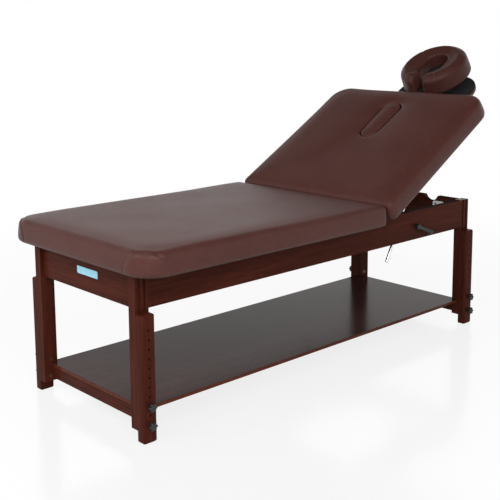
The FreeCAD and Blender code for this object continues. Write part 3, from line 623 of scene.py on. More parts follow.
def crossRing(centre, sideways, upwards, radiusSide, radiusUp, count):
    ring = []
    for k in range(count):
        turn = 2 * math.pi * k / count
        ring.append(centre + sideways * (radiusSide * math.cos(turn))
                    + upwards * (radiusUp * math.sin(turn)))
    return ring


def pathLengths(points):
    lengths = [0.0]
    for a, b in zip(points, points[1:]):
        lengths.append(lengths[-1] + (b - a).length)
    return lengths


def stepsAlong(points, count):
    # (index, part of the way to the next point) at even steps from end to end
    lengths = pathLengths(points)
    steps = []
    k = 0
    for i in range(count + 1):
        want = lengths[-1] * i / count
        while k < len(points) - 2 and lengths[k + 1] < want:
            k += 1
        steps.append((k, (want - lengths[k]) / max(lengths[k + 1] - lengths[k], tiny)))
    return steps


def evenly(points, normals, pitch):
    # the same path at even spacing
    steps = stepsAlong(points, max(int(pathLengths(points)[-1] / pitch), 2))
    return ([points[k].lerp(points[k + 1], t) for k, t in steps],
            [normals[k].lerp(normals[k + 1], t) for k, t in steps])


def padOutline(low, high, inset, startRadius, endRadius, steps=14):
    # outline of a pad with a corner radius at each end
    corners = [(low.x, low.y, 180, startRadius), (high.x, low.y, 270, endRadius),
               (high.x, high.y, 0, endRadius), (low.x, high.y, 90, startRadius)]
    smallest = 0.002
    points = []
    for cx, cy, start, radius in corners:
        r = max(radius - inset, smallest)
        mx = low.x + inset + r if cx == low.x else high.x - inset - r
        my = low.y + inset + r if cy == low.y else high.y - inset - r
        for k in range(steps + 1):
            turn = math.radians(start + 90 * k / steps)
            points.append((mx + r * math.cos(turn), my + r * math.sin(turn)))
    return points


def wallProfile(zLow, zHigh, bottomRadius, topRadius, bulge):
    # (inset, z) from the bottom rim up the side to the top rim
    rows = []
    for k in range(5):
        turn = math.radians(90 * k / 4)
        rows.append((bottomRadius * (1 - math.sin(turn)),
                     zLow + bottomRadius * (1 - math.cos(turn))))
    sideLow = zLow + bottomRadius
    sideHigh = zHigh - topRadius
    for k in range(1, 5):
        part = k / 5
        rows.append((-bulge * math.sin(math.pi * part), sideLow + (sideHigh - sideLow) * part))
    for k in range(9):
        turn = math.radians(90 * k / 8)
        rows.append((topRadius * (1 - math.cos(turn)), zHigh - topRadius * (1 - math.sin(turn))))
    return rows


def joinLoops(bm, first, second):
    count = len(first)
    for k in range(count):
        n = (k + 1) % count
        bm.faces.new((first[k], first[n], second[n], second[k]))


def loopEdges(bm, loop):
    return [bm.edges.get((loop[k], loop[(k + 1) % len(loop)])) for k in range(len(loop))]


def buildPad(name, rings, holeRings, voxel):
    # walls from rings of (points, z), caps filled round any hole, then an even remesh
    bm = bmesh.new()
    loops = [[bm.verts.new((x, y, z)) for x, y in points] for points, z in rings]
    for a, b in zip(loops, loops[1:]):
        joinLoops(bm, a, b)
    inner = [[bm.verts.new((x, y, z)) for x, y in points] for points, z in holeRings]
    for a, b in zip(inner, inner[1:]):
        joinLoops(bm, b, a)
    for index in (0, -1):
        edges = loopEdges(bm, loops[index])
        if inner:
            edges += loopEdges(bm, inner[index])
        bmesh.ops.triangle_fill(bm, edges=edges, use_beauty=True)
    bmesh.ops.recalc_face_normals(bm, faces=bm.faces)
    mesh = bpy.data.meshes.new(name + "_draft")
    bm.to_mesh(mesh)
    bm.free()
    draft = newObject(name + "_draft", mesh)
    even = draft.modifiers.new("even", "REMESH")
    even.mode = "VOXEL"
    even.voxel_size = voxel
    relax = draft.modifiers.new("relax", "SMOOTH")
    relax.factor = 0.5
    relax.iterations = 4
    bpy.context.view_layer.update()
    shaped = draft.evaluated_get(bpy.context.evaluated_depsgraph_get())
    done = bpy.data.meshes.new_from_object(shaped)
    bpy.data.objects.remove(draft)
    done.name = name
    done.materials.clear()
    done.materials.append(vinyl)
    return newObject(name, done)


def readPoints(mesh, what="co"):
    values = np.empty(len(mesh.vertices) * 3)
    mesh.vertices.foreach_get(what, values)
    return values.reshape(-1, 3)


def writePoints(mesh, co):
    mesh.vertices.foreach_set("co", co.reshape(-1))
    mesh.update()


clothLook = {"quality": 4, "mass": 0.25, "steps": 20}


def puffUp(piece, held, look):
    # cloth under a little pressure, held where it is tacked down, its moves kept under a cap
    before = readPoints(piece.data)
    group = piece.vertex_groups.new(name="held")
    group.add([int(i) for i in np.nonzero(held)[0]], 1.0, "REPLACE")
    cloth = piece.modifiers.new("puff", "CLOTH")
    settings = cloth.settings
    settings.quality = clothLook["quality"]
    settings.mass = clothLook["mass"]
    settings.tension_stiffness = look["stiffness"]
    settings.compression_stiffness = look["stiffness"]
    settings.shear_stiffness = look["stiffness"] / 2
    settings.bending_stiffness = look["bending"]
    settings.use_pressure = True
    settings.uniform_pressure_force = look["pressure"]
    settings.effector_weights.gravity = 0
    settings.vertex_group_mass = "held"
    cloth.collision_settings.use_collision = False
    for step in range(1, clothLook["steps"] + 1):
        scene.frame_set(step)
    after = readPoints(piece.evaluated_get(bpy.context.evaluated_depsgraph_get()).data)
    piece.modifiers.remove(cloth)
    piece.vertex_groups.remove(group)
    scene.frame_set(1)
    move = after - before
    far = np.linalg.norm(move, axis=1, keepdims=True)
    cap = look["cap"]
    move *= (cap * np.tanh(far / cap)) / np.maximum(far, tiny)
    writePoints(piece.data, before + pullTaut(piece.data, move, held, look["taut"]))
    print("puffed", piece.name, "and kept under", cap * 1000, "mm")


def pullTaut(mesh, move, held, rounds):
    # evens the swelling out from point to point, so that the cover shows no loose wrinkles
    ends = np.empty(len(mesh.edges) * 2, dtype=np.int64)
    mesh.edges.foreach_get("vertices", ends)
    a, b = ends.reshape(-1, 2).T
    size = len(move)
    links = np.bincount(a, minlength=size) + np.bincount(b, minlength=size)
    share = 0.5 / np.maximum(links, 1)
    for _ in range(rounds):
        around = np.empty_like(move)
        for axis in range(3):
            way = move[:, axis]
            around[:, axis] = np.bincount(a, way[b], size) + np.bincount(b, way[a], size)
        move = move * 0.5 + around * share[:, None]
        move[held] = 0
    return move


def finishPad(piece, matrix, body, node):
    piece.data.polygons.foreach_set("use_smooth", [True] * len(piece.data.polygons))
    piece.data.transform(matrix)
    piece.data.update()
    fine = piece.modifiers.new("fine", "SUBSURF")
    fine.levels = 1
    fine.render_levels = 1
    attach(piece, body)
    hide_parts(node)


# seam stitches and staples, each a small rounded bead
stitchLook = {"length": 0.0052, "thick": 0.0008, "pitch": 0.0074}
beadRows = ((-1, 0.25), (-0.8, 0.8), (0, 1.0), (0.8, 0.8), (1, 0.25))
beadSides = 6


def stitchRow(name, points, normals, body, look, material=thread, slot="vinyl"):
    verts, faces = [], []
    thick, half = look["thick"], look["length"] / 2
    for a, b, normal in zip(points, points[1:], normals):
        way = (b - a).normalized()
        out = normal.normalized()
        side = way.cross(out).normalized()
        rings = []
        for part, scale in beadRows:
            lift = thick * (0.55 - 0.5 * part * part)
            rings.append(crossRing((a + b) / 2 + way * (half * part) + out * lift, side, out,
                                   thick * scale, thick * 0.7 * scale, beadSides))
        addLoft(verts, faces, rings)
    row = newPiece(name, verts, faces, [material], body)


# seat cushion
cushionLook = {
    "hingeRadius": 0.024, "topRadius": 0.022, "bottomRadius": 0.006, "hingeEdge": 0.036,
    "bulge": 0.0015, "crown": 0.003, "crownFrom": 0.02, "crownReach": 0.12, "crownDepth": 0.03,
    "deckInset": 0.0085, "deckThickness": 0.0153, "underside": 0.003, "tacked": 0.02,
    "hingeHeld": 0.03, "voxel": 0.006, "stiffness": 60.0, "bending": 2.0, "pressure": 2.5,
    "cap": 0.006, "taut": 70, "fill": 0.9,
}
seatLook = {
    **cushionLook, "footRadius": 0.095,
    "patchHalf": 0.08, "patchHeight": 0.084, "patchShift": 0.012, "patchReach": 0.2,
    "seamDepth": 0.0024, "seamWidth": 0.004, "seamWithin": 0.03,
    "lipHeight": 0.0009, "lipAt": 0.009, "lipWidth": 0.008, "stitchInset": 0.005,
}


def insideBy(co, low, high, startRadius, endRadius):
    # how far inside the outline each point is
    mid = (low + high) / 2
    half = (high - low) / 2
    q = np.abs(co[:, :2] - np.array([mid.x, mid.y]))
    r = np.where(co[:, 0] < mid.x, startRadius, endRadius)
    d = q - (np.array([half.x, half.y]) - r[:, None])
    outside = np.linalg.norm(np.maximum(d, 0), axis=1)
    return r - outside - np.minimum(np.max(d, axis=1), 0)


def padRings(low, high, look, startRadius, endRadius):
    rows = wallProfile(low.z, high.z, look["bottomRadius"], look["topRadius"], look["bulge"])
    return [(padOutline(low, high, inset, startRadius, endRadius), z) for inset, z in rows]


def crownTop(co, low, high, look, startRadius, endRadius):
    # the top swells gently towards the middle
    inside = insideBy(co, low, high, startRadius, endRadius)
    reach = np.maximum(inside - look["crownFrom"], 0) / look["crownReach"]
    depth = look["crownDepth"]
    upper = np.clip((co[:, 2] - (high.z - depth)) / depth, 0, 1)
    co[:, 2] += look["crown"] * (1 - np.exp(-reach)) * upper
    # the underside is hollow over the deck board
    under = (co[:, 2] < low.z + look["underside"]) & (inside > look["deckInset"])
    co[under, 2] = low.z + look["deckThickness"]


def easeHingeEdge(co, edgeX, topZ, way, radius):
    # rounder beside the hinge, so that the two cushions clear each other with the backrest up
    dx = (co[:, 0] - edgeX) * way + radius
    dz = co[:, 2] - topZ + radius
    far = np.hypot(dx, dz)
    past = (dx > 0) & (dz > 0) & (far > radius)
    back = np.where(past, radius / np.maximum(far, tiny), 1.0) - 1
    co[:, 0] += way * dx * back
    co[:, 2] += dz * back


def cornerPlace(co, low, high, radius, sideSign):
    # arc length along the side from the middle of a foot corner, and which points are near it
    cx = low.x + radius
    cy = low.y + radius if sideSign < 0 else high.y - radius
    dx = cx - co[:, 0]
    dy = (cy - co[:, 1]) if sideSign < 0 else (co[:, 1] - cy)
    quarter = math.pi / 4
    s = radius * (np.arctan2(np.maximum(dy, 0), np.maximum(dx, 0)) - quarter)
    s = np.where(dx < 0, radius * quarter - dx, s)
    s = np.where((dy < 0) & (dx >= 0), -radius * quarter + dy, s)
    return s, (dx > -seatLook["patchReach"]) & (dy > -seatLook["patchReach"])


def makeSeat():
    low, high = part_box("seat_cushion")
    look = seatLook
    ends = look["footRadius"], look["hingeRadius"]
    seat = buildPad("seatCushion", padRings(low, high, look, *ends), [], look["voxel"])
    co = readPoints(seat.data)
    crownTop(co, low, high, look, *ends)
    writePoints(seat.data, co)
    held = (co[:, 2] < low.z + look["tacked"]) | (co[:, 0] > high.x - look["hingeHeld"])
    puffUp(seat, held, look)
    co = readPoints(seat.data)
    easeHingeEdge(co, high.x, high.z, 1, look["hingeEdge"])
    normal = readPoints(seat.data, "normal")
    wall = insideBy(co, low, high, *ends) < look["seamWithin"]
    wallTop = high.z - low.z - look["topRadius"]
    for sideSign in (-1, 1):
        # a half-round patch, pressed in along its seam
        s, near = cornerPlace(co, low, high, look["footRadius"], sideSign)
        s = s + look["patchShift"]
        h = co[:, 2] - low.z
        over = np.clip((h - wallTop) / look["topRadius"], 0, 1)
        h = np.minimum(h, wallTop) + look["topRadius"] * np.arcsin(over)
        f = np.hypot(s / look["patchHalf"], h / look["patchHeight"])
        slope = np.hypot(s / look["patchHalf"] ** 2, h / look["patchHeight"] ** 2)
        away = (f - 1) * f / np.maximum(slope, 1e-6)
        depth = look["seamDepth"] * np.exp(-(away / look["seamWidth"]) ** 2)
        lip = look["lipHeight"] * np.exp(-((away + look["lipAt"]) / look["lipWidth"]) ** 2)
        co -= normal * ((depth - lip) * (near & wall))[:, None]
    writePoints(seat.data, co)
    finishPad(seat, lyingFlat, "frame", "seat_cushion")
    for sideSign, sideName in ((-1, "Near"), (1, "Far")):
        makePatchStitches(seat, low, high, sideSign, "seatPatchStitch" + sideName)


def makePatchStitches(seat, low, high, sideSign, name):
    look = seatLook
    r = look["footRadius"]
    cx = low.x + r
    cy = low.y + r if sideSign < 0 else high.y - r
    quarter = math.pi / 4
    top = look["topRadius"]
    wallTop = high.z - low.z - top
    points, normals = [], []
    for k in range(81):
        t = math.pi * (0.03 + 0.94 * k / 80)
        s = (look["patchHalf"] - look["stitchInset"]) * math.cos(t) - look["patchShift"]
        h = (look["patchHeight"] - look["stitchInset"]) * math.sin(t)
        if abs(s) <= r * quarter:
            nx, ny = math.cos(quarter + s / r), math.sin(quarter + s / r)
            px, py = r * nx, r * ny
        elif s > 0:
            px, py, nx, ny = r * quarter - s, r, 0.0, 1.0
        else:
            px, py, nx, ny = r, s + r * quarter, 1.0, 0.0
        tip = max(h - wallTop, 0) / top
        h = min(h, wallTop) + top * math.sin(tip)
        outward = Vector((-nx, sideSign * ny, 0))
        at = Vector((cx - px, cy + sideSign * py, low.z + h))
        points.append(at - outward * (top * (1 - math.cos(tip))))
        normals.append(outward * math.cos(tip) + up * math.sin(tip))
    evenP, evenN = evenly(points, normals, stitchLook["pitch"])
    # set onto the finished surface
    outside = 0.004
    settled = []
    for p, n in zip(evenP, evenN):
        hit, place = seat.closest_point_on_mesh(p + n * outside)[:2]
        settled.append(place if hit else p)
    stitchRow(name, settled, evenN, "frame", stitchLook)


# backrest cushion with its breath hole, which is wider at the head end
backLook = {
    **cushionLook, "headRadius": 0.088, "holeLength": 0.245, "holeWidth": 0.092,
    "headSwell": 0.005, "holeRim": 0.006, "holeDip": 0.005, "dipReach": 0.022, "dipDepth": 0.01,
    "holeHeld": 0.006, "holeHeights": (0.0, 0.02, 0.045),
}


def slotOutline(centre, length, width, grow, steps=20):
    straight = (length - width) / 2
    points = []
    for side, start in ((1, -90), (-1, 90)):
        r = width / 2 + grow + (backLook["headSwell"] if side > 0 else 0)
        middle = centre + side * (straight - (r - width / 2))
        for k in range(steps + 1):
            turn = math.radians(start + 180 * k / steps)
            points.append((middle + r * math.cos(turn), r * math.sin(turn)))
    return points


def slotDistance(co, centre, length, width):
    straight = (length - width) / 2
    along = co[:, 0] - centre
    swell = backLook["headSwell"] * np.clip((along / straight + 1) / 2, 0, 1)
    dx = np.maximum(np.abs(along) - straight + swell, 0)
    return np.hypot(dx, co[:, 1]) - width / 2 - swell


def makeBackrest():
    low, high = flatBox("backrest_cushion")
    plugLow, plugHigh = flatBox("breath_hole_plug")
    look = backLook
    ends = look["hingeRadius"], look["headRadius"]
    slot = (plugLow.x + plugHigh.x) / 2, look["holeLength"], look["holeWidth"]
    hole = [(slotOutline(*slot, 0.0), low.z + height) for height in look["holeHeights"]]
    rim = look["holeRim"]
    for k in range(6):
        turn = math.radians(90 * k / 5)
        hole.append((slotOutline(*slot, rim * (1 - math.cos(turn))),
                     high.z - rim * (1 - math.sin(turn))))
    back = buildPad("backrestCushion", padRings(low, high, look, *ends), hole, look["voxel"])
    co = readPoints(back.data)
    fromHole = slotDistance(co, *slot)
    crownTop(co, low, high, look, *ends)
    # the cover dips where it turns into the hole
    onTop = co[:, 2] > high.z - look["dipDepth"]
    co[:, 2] -= look["holeDip"] * np.exp(-np.maximum(fromHole, 0) / look["dipReach"]) * onTop
    writePoints(back.data, co)
    held = (co[:, 2] < low.z + look["tacked"]) | (co[:, 0] < low.x + look["hingeHeld"])
    puffUp(back, held | (fromHole < look["holeHeld"]), look)
    co = readPoints(back.data)
    easeHingeEdge(co, low.x, high.z, -1, look["hingeEdge"])
    writePoints(back.data, co)
    finishPad(back, tiltUp, "backrest", "backrest_cushion")


# breath hole plug
plugLook = {
    "rim": 0.008, "bottom": 0.003, "hollow": 0.0006, "gap": 0.0055, "crown": 0.005,
    "crownFrom": 0.01, "crownReach": 0.02, "crownDepth": 0.012, "loose": 0.02, "rimHeld": 0.006,
    "voxel": 0.004, "stiffness": 40.0, "bending": 1.0, "pressure": 2.5, "cap": 0.002,
    "taut": 20, "fill": 0.85,
}


def makePlug():
    low, high = flatBox("breath_hole_plug")
    look = plugLook
    slot = (low.x + high.x) / 2, high.x - low.x, high.y - low.y
    rows = wallProfile(low.z, high.z, look["bottom"], look["rim"], -look["hollow"])
    rings = [(slotOutline(*slot, -inset - look["gap"]), z) for inset, z in rows]
    plug = buildPad("breathHolePlug", rings, [], look["voxel"])
    co = readPoints(plug.data)
    inside = -slotDistance(co, *slot)
    reach = np.maximum(inside - look["crownFrom"], 0) / look["crownReach"]
    upper = co[:, 2] > high.z - look["crownDepth"]
    co[:, 2] += upper * look["crown"] * (1 - np.exp(-reach))
    writePoints(plug.data, co)
    held = (co[:, 2] < high.z - look["loose"]) | (inside < look["gap"] + look["rimHeld"])
    puffUp(plug, held, look)
    finishPad(plug, tiltUp, "breath_plug", "breath_hole_plug")


# face cradle pad: a dished ring swept from one end of the mouth to the other
padLook = {
    "mouthHalf": 0.012, "mouthLean": 0.012, "faceLength": 0.152, "faceWidth": 0.108,
    "rows": 150, "around": 56, "slope": 14.0, "lipDrop": 0.003, "crestInset": 0.032,
    "shoulder": 0.022, "shoulderIn": 0.004,
    "rounding": (0.005, 0.016, 0.012, 0.03, 0.006, 0.001, 0.001),
    "platformRadius": 0.1468, "platformThickness": 0.0143, "seat": 0.004,
    "seams": (34.0, 128.0), "pinch": 0.035, "pinchWidth": 0.005, "seamHeld": 0.003,
    "stitchBeside": 0.004, "stitchOut": 1.1, "stitchRise": 0.62,
    "tuck": 0.03, "tuckTo": 0.62, "skirtFrom": 0.135, "heart": 0.45, "tacked": 0.02,
    "stiffness": 30.0, "bending": 0.6, "pressure": 3.0, "cap": 0.004, "taut": 3, "fill": 0.9,
}


def roundedSection(corners, count):
    # a closed section from corners (r, z, radius), at even steps along its edge
    path = []
    for i, (r, z, radius) in enumerate(corners):
        at = Vector((r, z))
        before = Vector(corners[i - 1][:2]) - at
        after = Vector(corners[(i + 1) % len(corners)][:2]) - at
        half = before.angle(after) / 2
        back = min(radius / math.tan(half), before.length * 0.49, after.length * 0.49)
        a, b = at + before.normalized() * back, at + after.normalized() * back
        for k in range(9):
            t = k / 8
            path.append(a * (1 - t) ** 2 + at * (2 * t * (1 - t)) + b * t ** 2)
    path.append(path[0])
    return [path[k].lerp(path[k + 1], t) for k, t in stepsAlong(path, count)[:-1]]


def innerReach(turn):
    # from the pad's middle to its slot-shaped face opening
    innerAt = padLook["faceWidth"] / 2
    straight = (padLook["faceLength"] - padLook["faceWidth"]) / 2
    c, s = abs(math.cos(turn)), abs(math.sin(turn))
    beside = innerAt / max(s, 1e-6)
    if beside * c <= straight:
        return beside
    return straight * c + math.sqrt(max(innerAt ** 2 - (straight * s) ** 2, 0))


def padSection(turn, outer, height):
    look = padLook
    ri = innerReach(turn)
    board = look["platformThickness"]
    crest = outer - look["crestInset"]
    lip = height - look["lipDrop"] - (crest - ri) * math.tan(math.radians(look["slope"]))
    corners = [(ri, board), (ri, lip), (crest, height),
               (outer - look["shoulderIn"], height - look["shoulder"]), (outer, 0.0),
               (look["platformRadius"], 0.0), (look["platformRadius"], board)]
    rounded = [(r, z, radius) for (r, z), radius in zip(corners, look["rounding"])]
    return roundedSection(rounded, look["around"])


def seamGaps(turn):
    # how far an angle, or each of an array of angles, is from every seam
    for seam in padLook["seams"]:
        for way in (-1, 1):
            at = math.pi + way * math.radians(seam)
            yield (turn - at + math.pi) % (2 * math.pi) - math.pi


def makeFacePad():
    low, high = flatBox("face_pad")
    look = padLook
    centre = Vector(((low.x + high.x) / 2, 0, low.z))
    outer = (high.x - low.x) / 2
    height = high.z - low.z
    board = look["platformThickness"]
    startTurn = math.asin(look["mouthHalf"] / ((outer + look["faceLength"] / 2) / 2))
    rings = []
    for i in range(look["rows"] + 1):
        turn = math.pi + startTurn + (2 * math.pi - 2 * startTurn) * i / look["rows"]
        mid = (innerReach(turn) + outer) / 2
        fromEnd = min(i, look["rows"] - i) / look["rows"] * 2 * math.pi * mid
        scale = 1.0
        lean = 0.0
        if fromEnd < look["tuck"]:
            part = fromEnd / look["tuck"]
            scale = look["tuckTo"] + (1 - look["tuckTo"]) * math.sqrt(max(1 - (1 - part) ** 2, 0))
            lean = look["mouthLean"] * (1 - part) / mid * (1 if i < look["rows"] / 2 else -1)
        for gap in seamGaps(turn):
            scale *= 1 - look["pinch"] * math.exp(-(gap * mid / look["pinchWidth"]) ** 2)
        heart = Vector((mid, height * look["heart"]))
        ring = []
        for p in padSection(turn, outer, height):
            q = heart + (p - heart) * scale
            if p.y < board + look["seat"]:
                q.y = p.y
            if math.cos(turn) * q.x < -look["skirtFrom"] and q.y < board:
                q.y = board  # no skirt beside the tilt lugs
            swing = turn + lean * max(q.y / height, 0)
            ring.append(centre + Vector((math.cos(swing) * q.x, math.sin(swing) * q.x, q.y)))
        rings.append(ring)
    mesh = newMesh("facePad", *loft(rings), [padVinyl])
    fixNormals(mesh)
    pad = newObject("facePad", mesh)
    co = readPoints(mesh)
    angle = np.arctan2(co[:, 1], co[:, 0] - centre.x)
    reach = np.hypot(co[:, 0] - centre.x, co[:, 1])
    held = co[:, 2] < low.z + look["tacked"]
    for gap in seamGaps(angle):
        held |= np.abs(gap * reach) < look["seamHeld"]
    puffUp(pad, held, look)
    finishPad(pad, tiltUp, "cradle_head", "face_pad")
    for index, seam in enumerate(look["seams"]):
        for way, label in ((-1, "Near"), (1, "Far")):
            turn = math.pi - way * math.radians(seam)
            makePadSeam(pad, centre, turn, outer, height, "facePadStitch" + label + str(index))


def makePadSeam(pad, centre, turn, outer, height, name):
    direction = Vector((math.cos(turn), math.sin(turn), 0))
    beside = Vector((-math.sin(turn), math.cos(turn), 0)) * padLook["stitchBeside"]
    inner = innerReach(turn)
    mid, half = (inner + outer) / 2, (outer - inner) / 2
    points, normals = [], []
    for k in range(60):
        # over the pad from its outer side to its inner side
        a = math.radians(-8 + 196 * k / 59)
        start = centre + direction * (mid + half * padLook["stitchOut"] * math.cos(a)) + beside
        start = start + up * (height * (padLook["heart"] + padLook["stitchRise"] * math.sin(a)))
        hit, place, normal, _ = pad.closest_point_on_mesh(tiltUp @ start)
        if hit:
            points.append(place)
            normals.append(normal)
    stitchRow(name, *evenly(points, normals, stitchLook["pitch"]), "cradle_head", stitchLook)


# the cover turned under each deck and stapled there, on the three free sides
hemLook = {"outer": 0.009, "inner": 0.036, "thick": 0.0008, "ragged": 0.0016, "step": 0.018,
           "stop": 0.06, "sunk": 0.0002}
stapleLook = {"length": 0.0105, "thick": 0.00055, "pitch": 0.034}


def hemPath(low, high, inset, radius, footEnd):
    points = padOutline(low, high, inset, radius, radius, 12)
    quarter = len(points) // 4
    parts = [points[k * quarter:(k + 1) * quarter] for k in range(4)]
    if footEnd:
        path = parts[0][::-1] + parts[3][::-1]
        stop = high.x - hemLook["stop"]
    else:
        path = parts[1] + parts[2]
        stop = low.x + hemLook["stop"]
    path = [(stop, low.y + inset)] + path + [(stop, high.y - inset)]
    return [Vector((x, y, low.z + hemLook["sunk"])) for x, y in path]


def makeHem(name, low, high, radius, footEnd, matrix, body):
    look = hemLook
    middle = (look["outer"] + look["inner"]) / 2
    outer, inner, staples = [hemPath(low, high, inset, radius, footEnd)
                             for inset in (look["outer"], look["inner"], middle)]
    count = int(pathLengths(outer)[-1] / look["step"])
    even = [evenly(path, [down] * len(path), pathLengths(path)[-1] / (count + 0.5))[0]
            for path in (outer, inner)]
    drop = down * look["thick"]
    rings = []
    for a, b in zip(*even):
        ragged = b + (b - a).normalized() * random.uniform(-1, 1) * look["ragged"]
        rings.append([matrix @ p for p in (a, a + drop, ragged + drop, ragged)])
    hem = newPiece(name, *loft(rings), [vinyl], body, False)
    fixNormals(hem.data)
    places, normals = evenly(staples, [down] * len(staples), stapleLook["pitch"])
    stitchRow(name + "Staples", [matrix @ (p + drop) for p in places],
              [matrix.to_3x3() @ n for n in normals], body, stapleLook, zinc, "zinc_steel")


makeSeat()
makeBackrest()
makePlug()
makeFacePad()
makeHem("seatHem", *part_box("seat_cushion"), seatLook["footRadius"], True, lyingFlat, "frame")
makeHem("backrestHem", *flatBox("backrest_cushion"), backLook["headRadius"], False, tiltUp,
        "backrest")
print("cushions made")


# star knobs with their studs: rows of (depth, radius, lobe)
knobLook = {"lobes": 6, "count": 96, "stud": 0.004, "studFrom": 0.02, "chamfer": 0.001,
            "studTip": 0.0008, "smallest": 0.00005}
knobProfile = [
    (0.0014, 0.0, 0.0), (0.0014, 0.0042, 0.0), (0.0004, 0.005, 0.0), (0.0, 0.0062, 0.0),
    (0.0003, 0.0092, 0.0008), (0.0012, 0.0112, 0.0018), (0.0027, 0.0119, 0.0026),
    (0.0046, 0.0121, 0.0029), (0.0095, 0.0121, 0.0029), (0.0114, 0.0117, 0.0025),
    (0.0124, 0.0108, 0.0016), (0.013, 0.0094, 0.0006), (0.0133, 0.0078, 0.0),
    (0.0142, 0.0075, 0.0), (0.019, 0.0075, 0.0), (0.0197, 0.0073, 0.0), (0.02, 0.0066, 0.0),
]


def makeKnob(name):
    look = knobLook
    low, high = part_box(name)
    outward = -1 if "near" in name else 1
    face = low.y if outward < 0 else high.y
    total = high.y - low.y
    x, z = (low.x + high.x) / 2, (low.z + high.z) / 2
    rows = knobProfile + [(look["studFrom"], look["stud"], 0),
                          (total - look["chamfer"], look["stud"], 0),
                          (total, look["stud"] - look["studTip"], 0)]
    count = look["count"]
    rings = []
    for depth, radius, lobe in rows:
        ring = []
        for k in range(count):
            turn = 2 * math.pi * k / count
            r = max(radius + lobe * math.cos(look["lobes"] * turn), look["smallest"])
            ring.append(Vector((x + r * math.cos(turn) * outward, face - outward * depth,
                                z + r * math.sin(turn))))
        rings.append(ring)
    verts, faces = loft(rings)
    slots = [0 if i // count < len(knobProfile) else 1 for i in range(len(faces) - 2)] + [0, 1]
    knob = newPiece(name + "_moulded", verts, faces, [blackPlastic, blackSteel],
                    nodes[name]["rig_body"], True, slots)
    fixNormals(knob.data)
    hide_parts(name)


for name in sorted(nodes):
    if name.startswith("knob_") and name != "knob_inserts":
        makeKnob(name)
print("knobs made")

# clamp levers: hub, drooping handle and the screw through the rail
leverLook = {
    "length": 0.078, "droop": math.radians(23), "rise": 0.014, "hub": 0.0105, "hubHeight": 0.022,
    "groove": 0.0005, "screw": 0.005, "screwTip": 0.0006, "capRadius": 0.0055, "gap": 0.0003,
    "endRadius": 0.0075, "hubSides": 40, "handleSides": 28, "softEdge": 0.0004,
}
screwRows = 3  # the first rows of the hub are the steel screw
handleRows = [  # part of the length, half width, half height
    (0.0, 0.0066, 0.0078), (0.1, 0.0064, 0.0076), (0.22, 0.0056, 0.0068), (0.4, 0.0054, 0.0066),
    (0.6, 0.0058, 0.007), (0.8, 0.0066, 0.0077), (0.92, 0.0072, 0.008), (1.0, 0.0071, 0.0077),
    (1.035, 0.0058, 0.0063), (1.058, 0.0035, 0.004), (1.068, 0.0006, 0.0007)]


def makeLever(side):
    look = leverLook
    node = "clamp_lever_" + side
    pivot = Vector(joints["clamp_lever_turn_" + side]["pos_m"])
    low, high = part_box(node)
    outward = Vector((0, -1 if side == "near" else 1, 0))
    innerY = high.y if side == "near" else low.y
    hubStart = pivot + outward * look["gap"]
    reach = abs(innerY - hubStart.y)
    hub, top, screw, cap = look["hub"], look["hubHeight"], look["screw"], look["capRadius"]
    inGroove = hub - look["groove"]
    rows = [(-reach, screw - look["screwTip"]), (-reach + 0.0008, screw), (0.0, screw),
            (0.0, 0.0094), (0.0008, hub), (0.004, hub), (0.0046, inGroove), (0.0052, inGroove),
            (0.0058, hub), (0.019, hub), (0.0208, 0.0098), (0.0218, 0.0086), (top, 0.0074),
            (top, 0.0062), (0.0205, 0.0058), (0.0205, cap), (0.0212, cap), (0.0216, 0.0049),
            (0.0216, 0.0004)]
    count = look["hubSides"]
    verts, faces = loft([crossRing(hubStart + outward * along, Vector((1, 0, 0)), up, radius,
                                   radius, count) for along, radius in rows])
    slots = [1 if i // count < screwRows else 0 for i in range(len(faces) - 2)] + [1, 0]
    root = hubStart + outward * (top - look["endRadius"])
    droop = Vector((math.cos(look["droop"]), 0, -math.sin(look["droop"])))
    handle = droop * look["length"] + outward * look["rise"]
    across = handle.cross(up).normalized()
    upright = across.cross(handle).normalized()
    rings = [crossRing(root + handle * part, across, upright, a, b, look["handleSides"])
             for part, a, b in handleRows]
    slots += [0] * addLoft(verts, faces, rings)
    lever = newPiece("clampLever_" + side, verts, faces, [blackPlastic, zinc], node, True, slots)
    fixNormals(lever.data)
    roundEdges(lever, "softEdges", look["softEdge"])
    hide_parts(node)


for side in ("near", "far"):
    makeLever(side)
print("levers made")


# screws: domed heads with a cross recess, sizes as parts of the head's radius
screwLook = {"sides": 24, "sunk": -0.0005, "recessTop": 0.48, "recessDepth": 0.3,
             "recessCore": 0.1, "recessArm": 0.3, "backRadius": 0.0038,
             "stretcherRadius": 0.0045, "stretcherAcross": -0.025, "stretcherUp": 0.006}
headRows = ((0.15, 1.0), (0.3, 0.94), (0.42, 0.78), (0.5, 0.5), (0.5, 0.42))


def makeScrews(name, places, outward, radius, body, material=zinc):
    look = screwLook
    verts, faces = [], []
    outward = Vector(outward).normalized()
    side = outward.orthogonal().normalized()
    upright = outward.cross(side)
    count = look["sides"]
    rows = [(look["sunk"], radius)] + [(lift * radius, part * radius) for lift, part in headRows]
    for place, turn in places:
        rings = [crossRing(Vector(place) + outward * lift, side, upright, r, r, count)
                 for lift, r in rows]
        # the recess: a cross pressed into the middle
        ring = []
        for k in range(count):
            a = 2 * math.pi * k / count
            arm = abs(math.cos(2 * a)) ** 6
            r = radius * (look["recessCore"] + look["recessArm"] * arm)
            d = side * math.cos(a + turn) + upright * math.sin(a + turn)
            ring.append(Vector(place) + outward * (look["recessTop"] * radius) + d * r)
        rings.append(ring)
        rings.append([p - outward * (look["recessDepth"] * radius) for p in ring])
        addLoft(verts, faces, rings, closeStart=False)
    piece = newPiece(name, verts, faces, [material], body, False)
    fixNormals(piece.data)


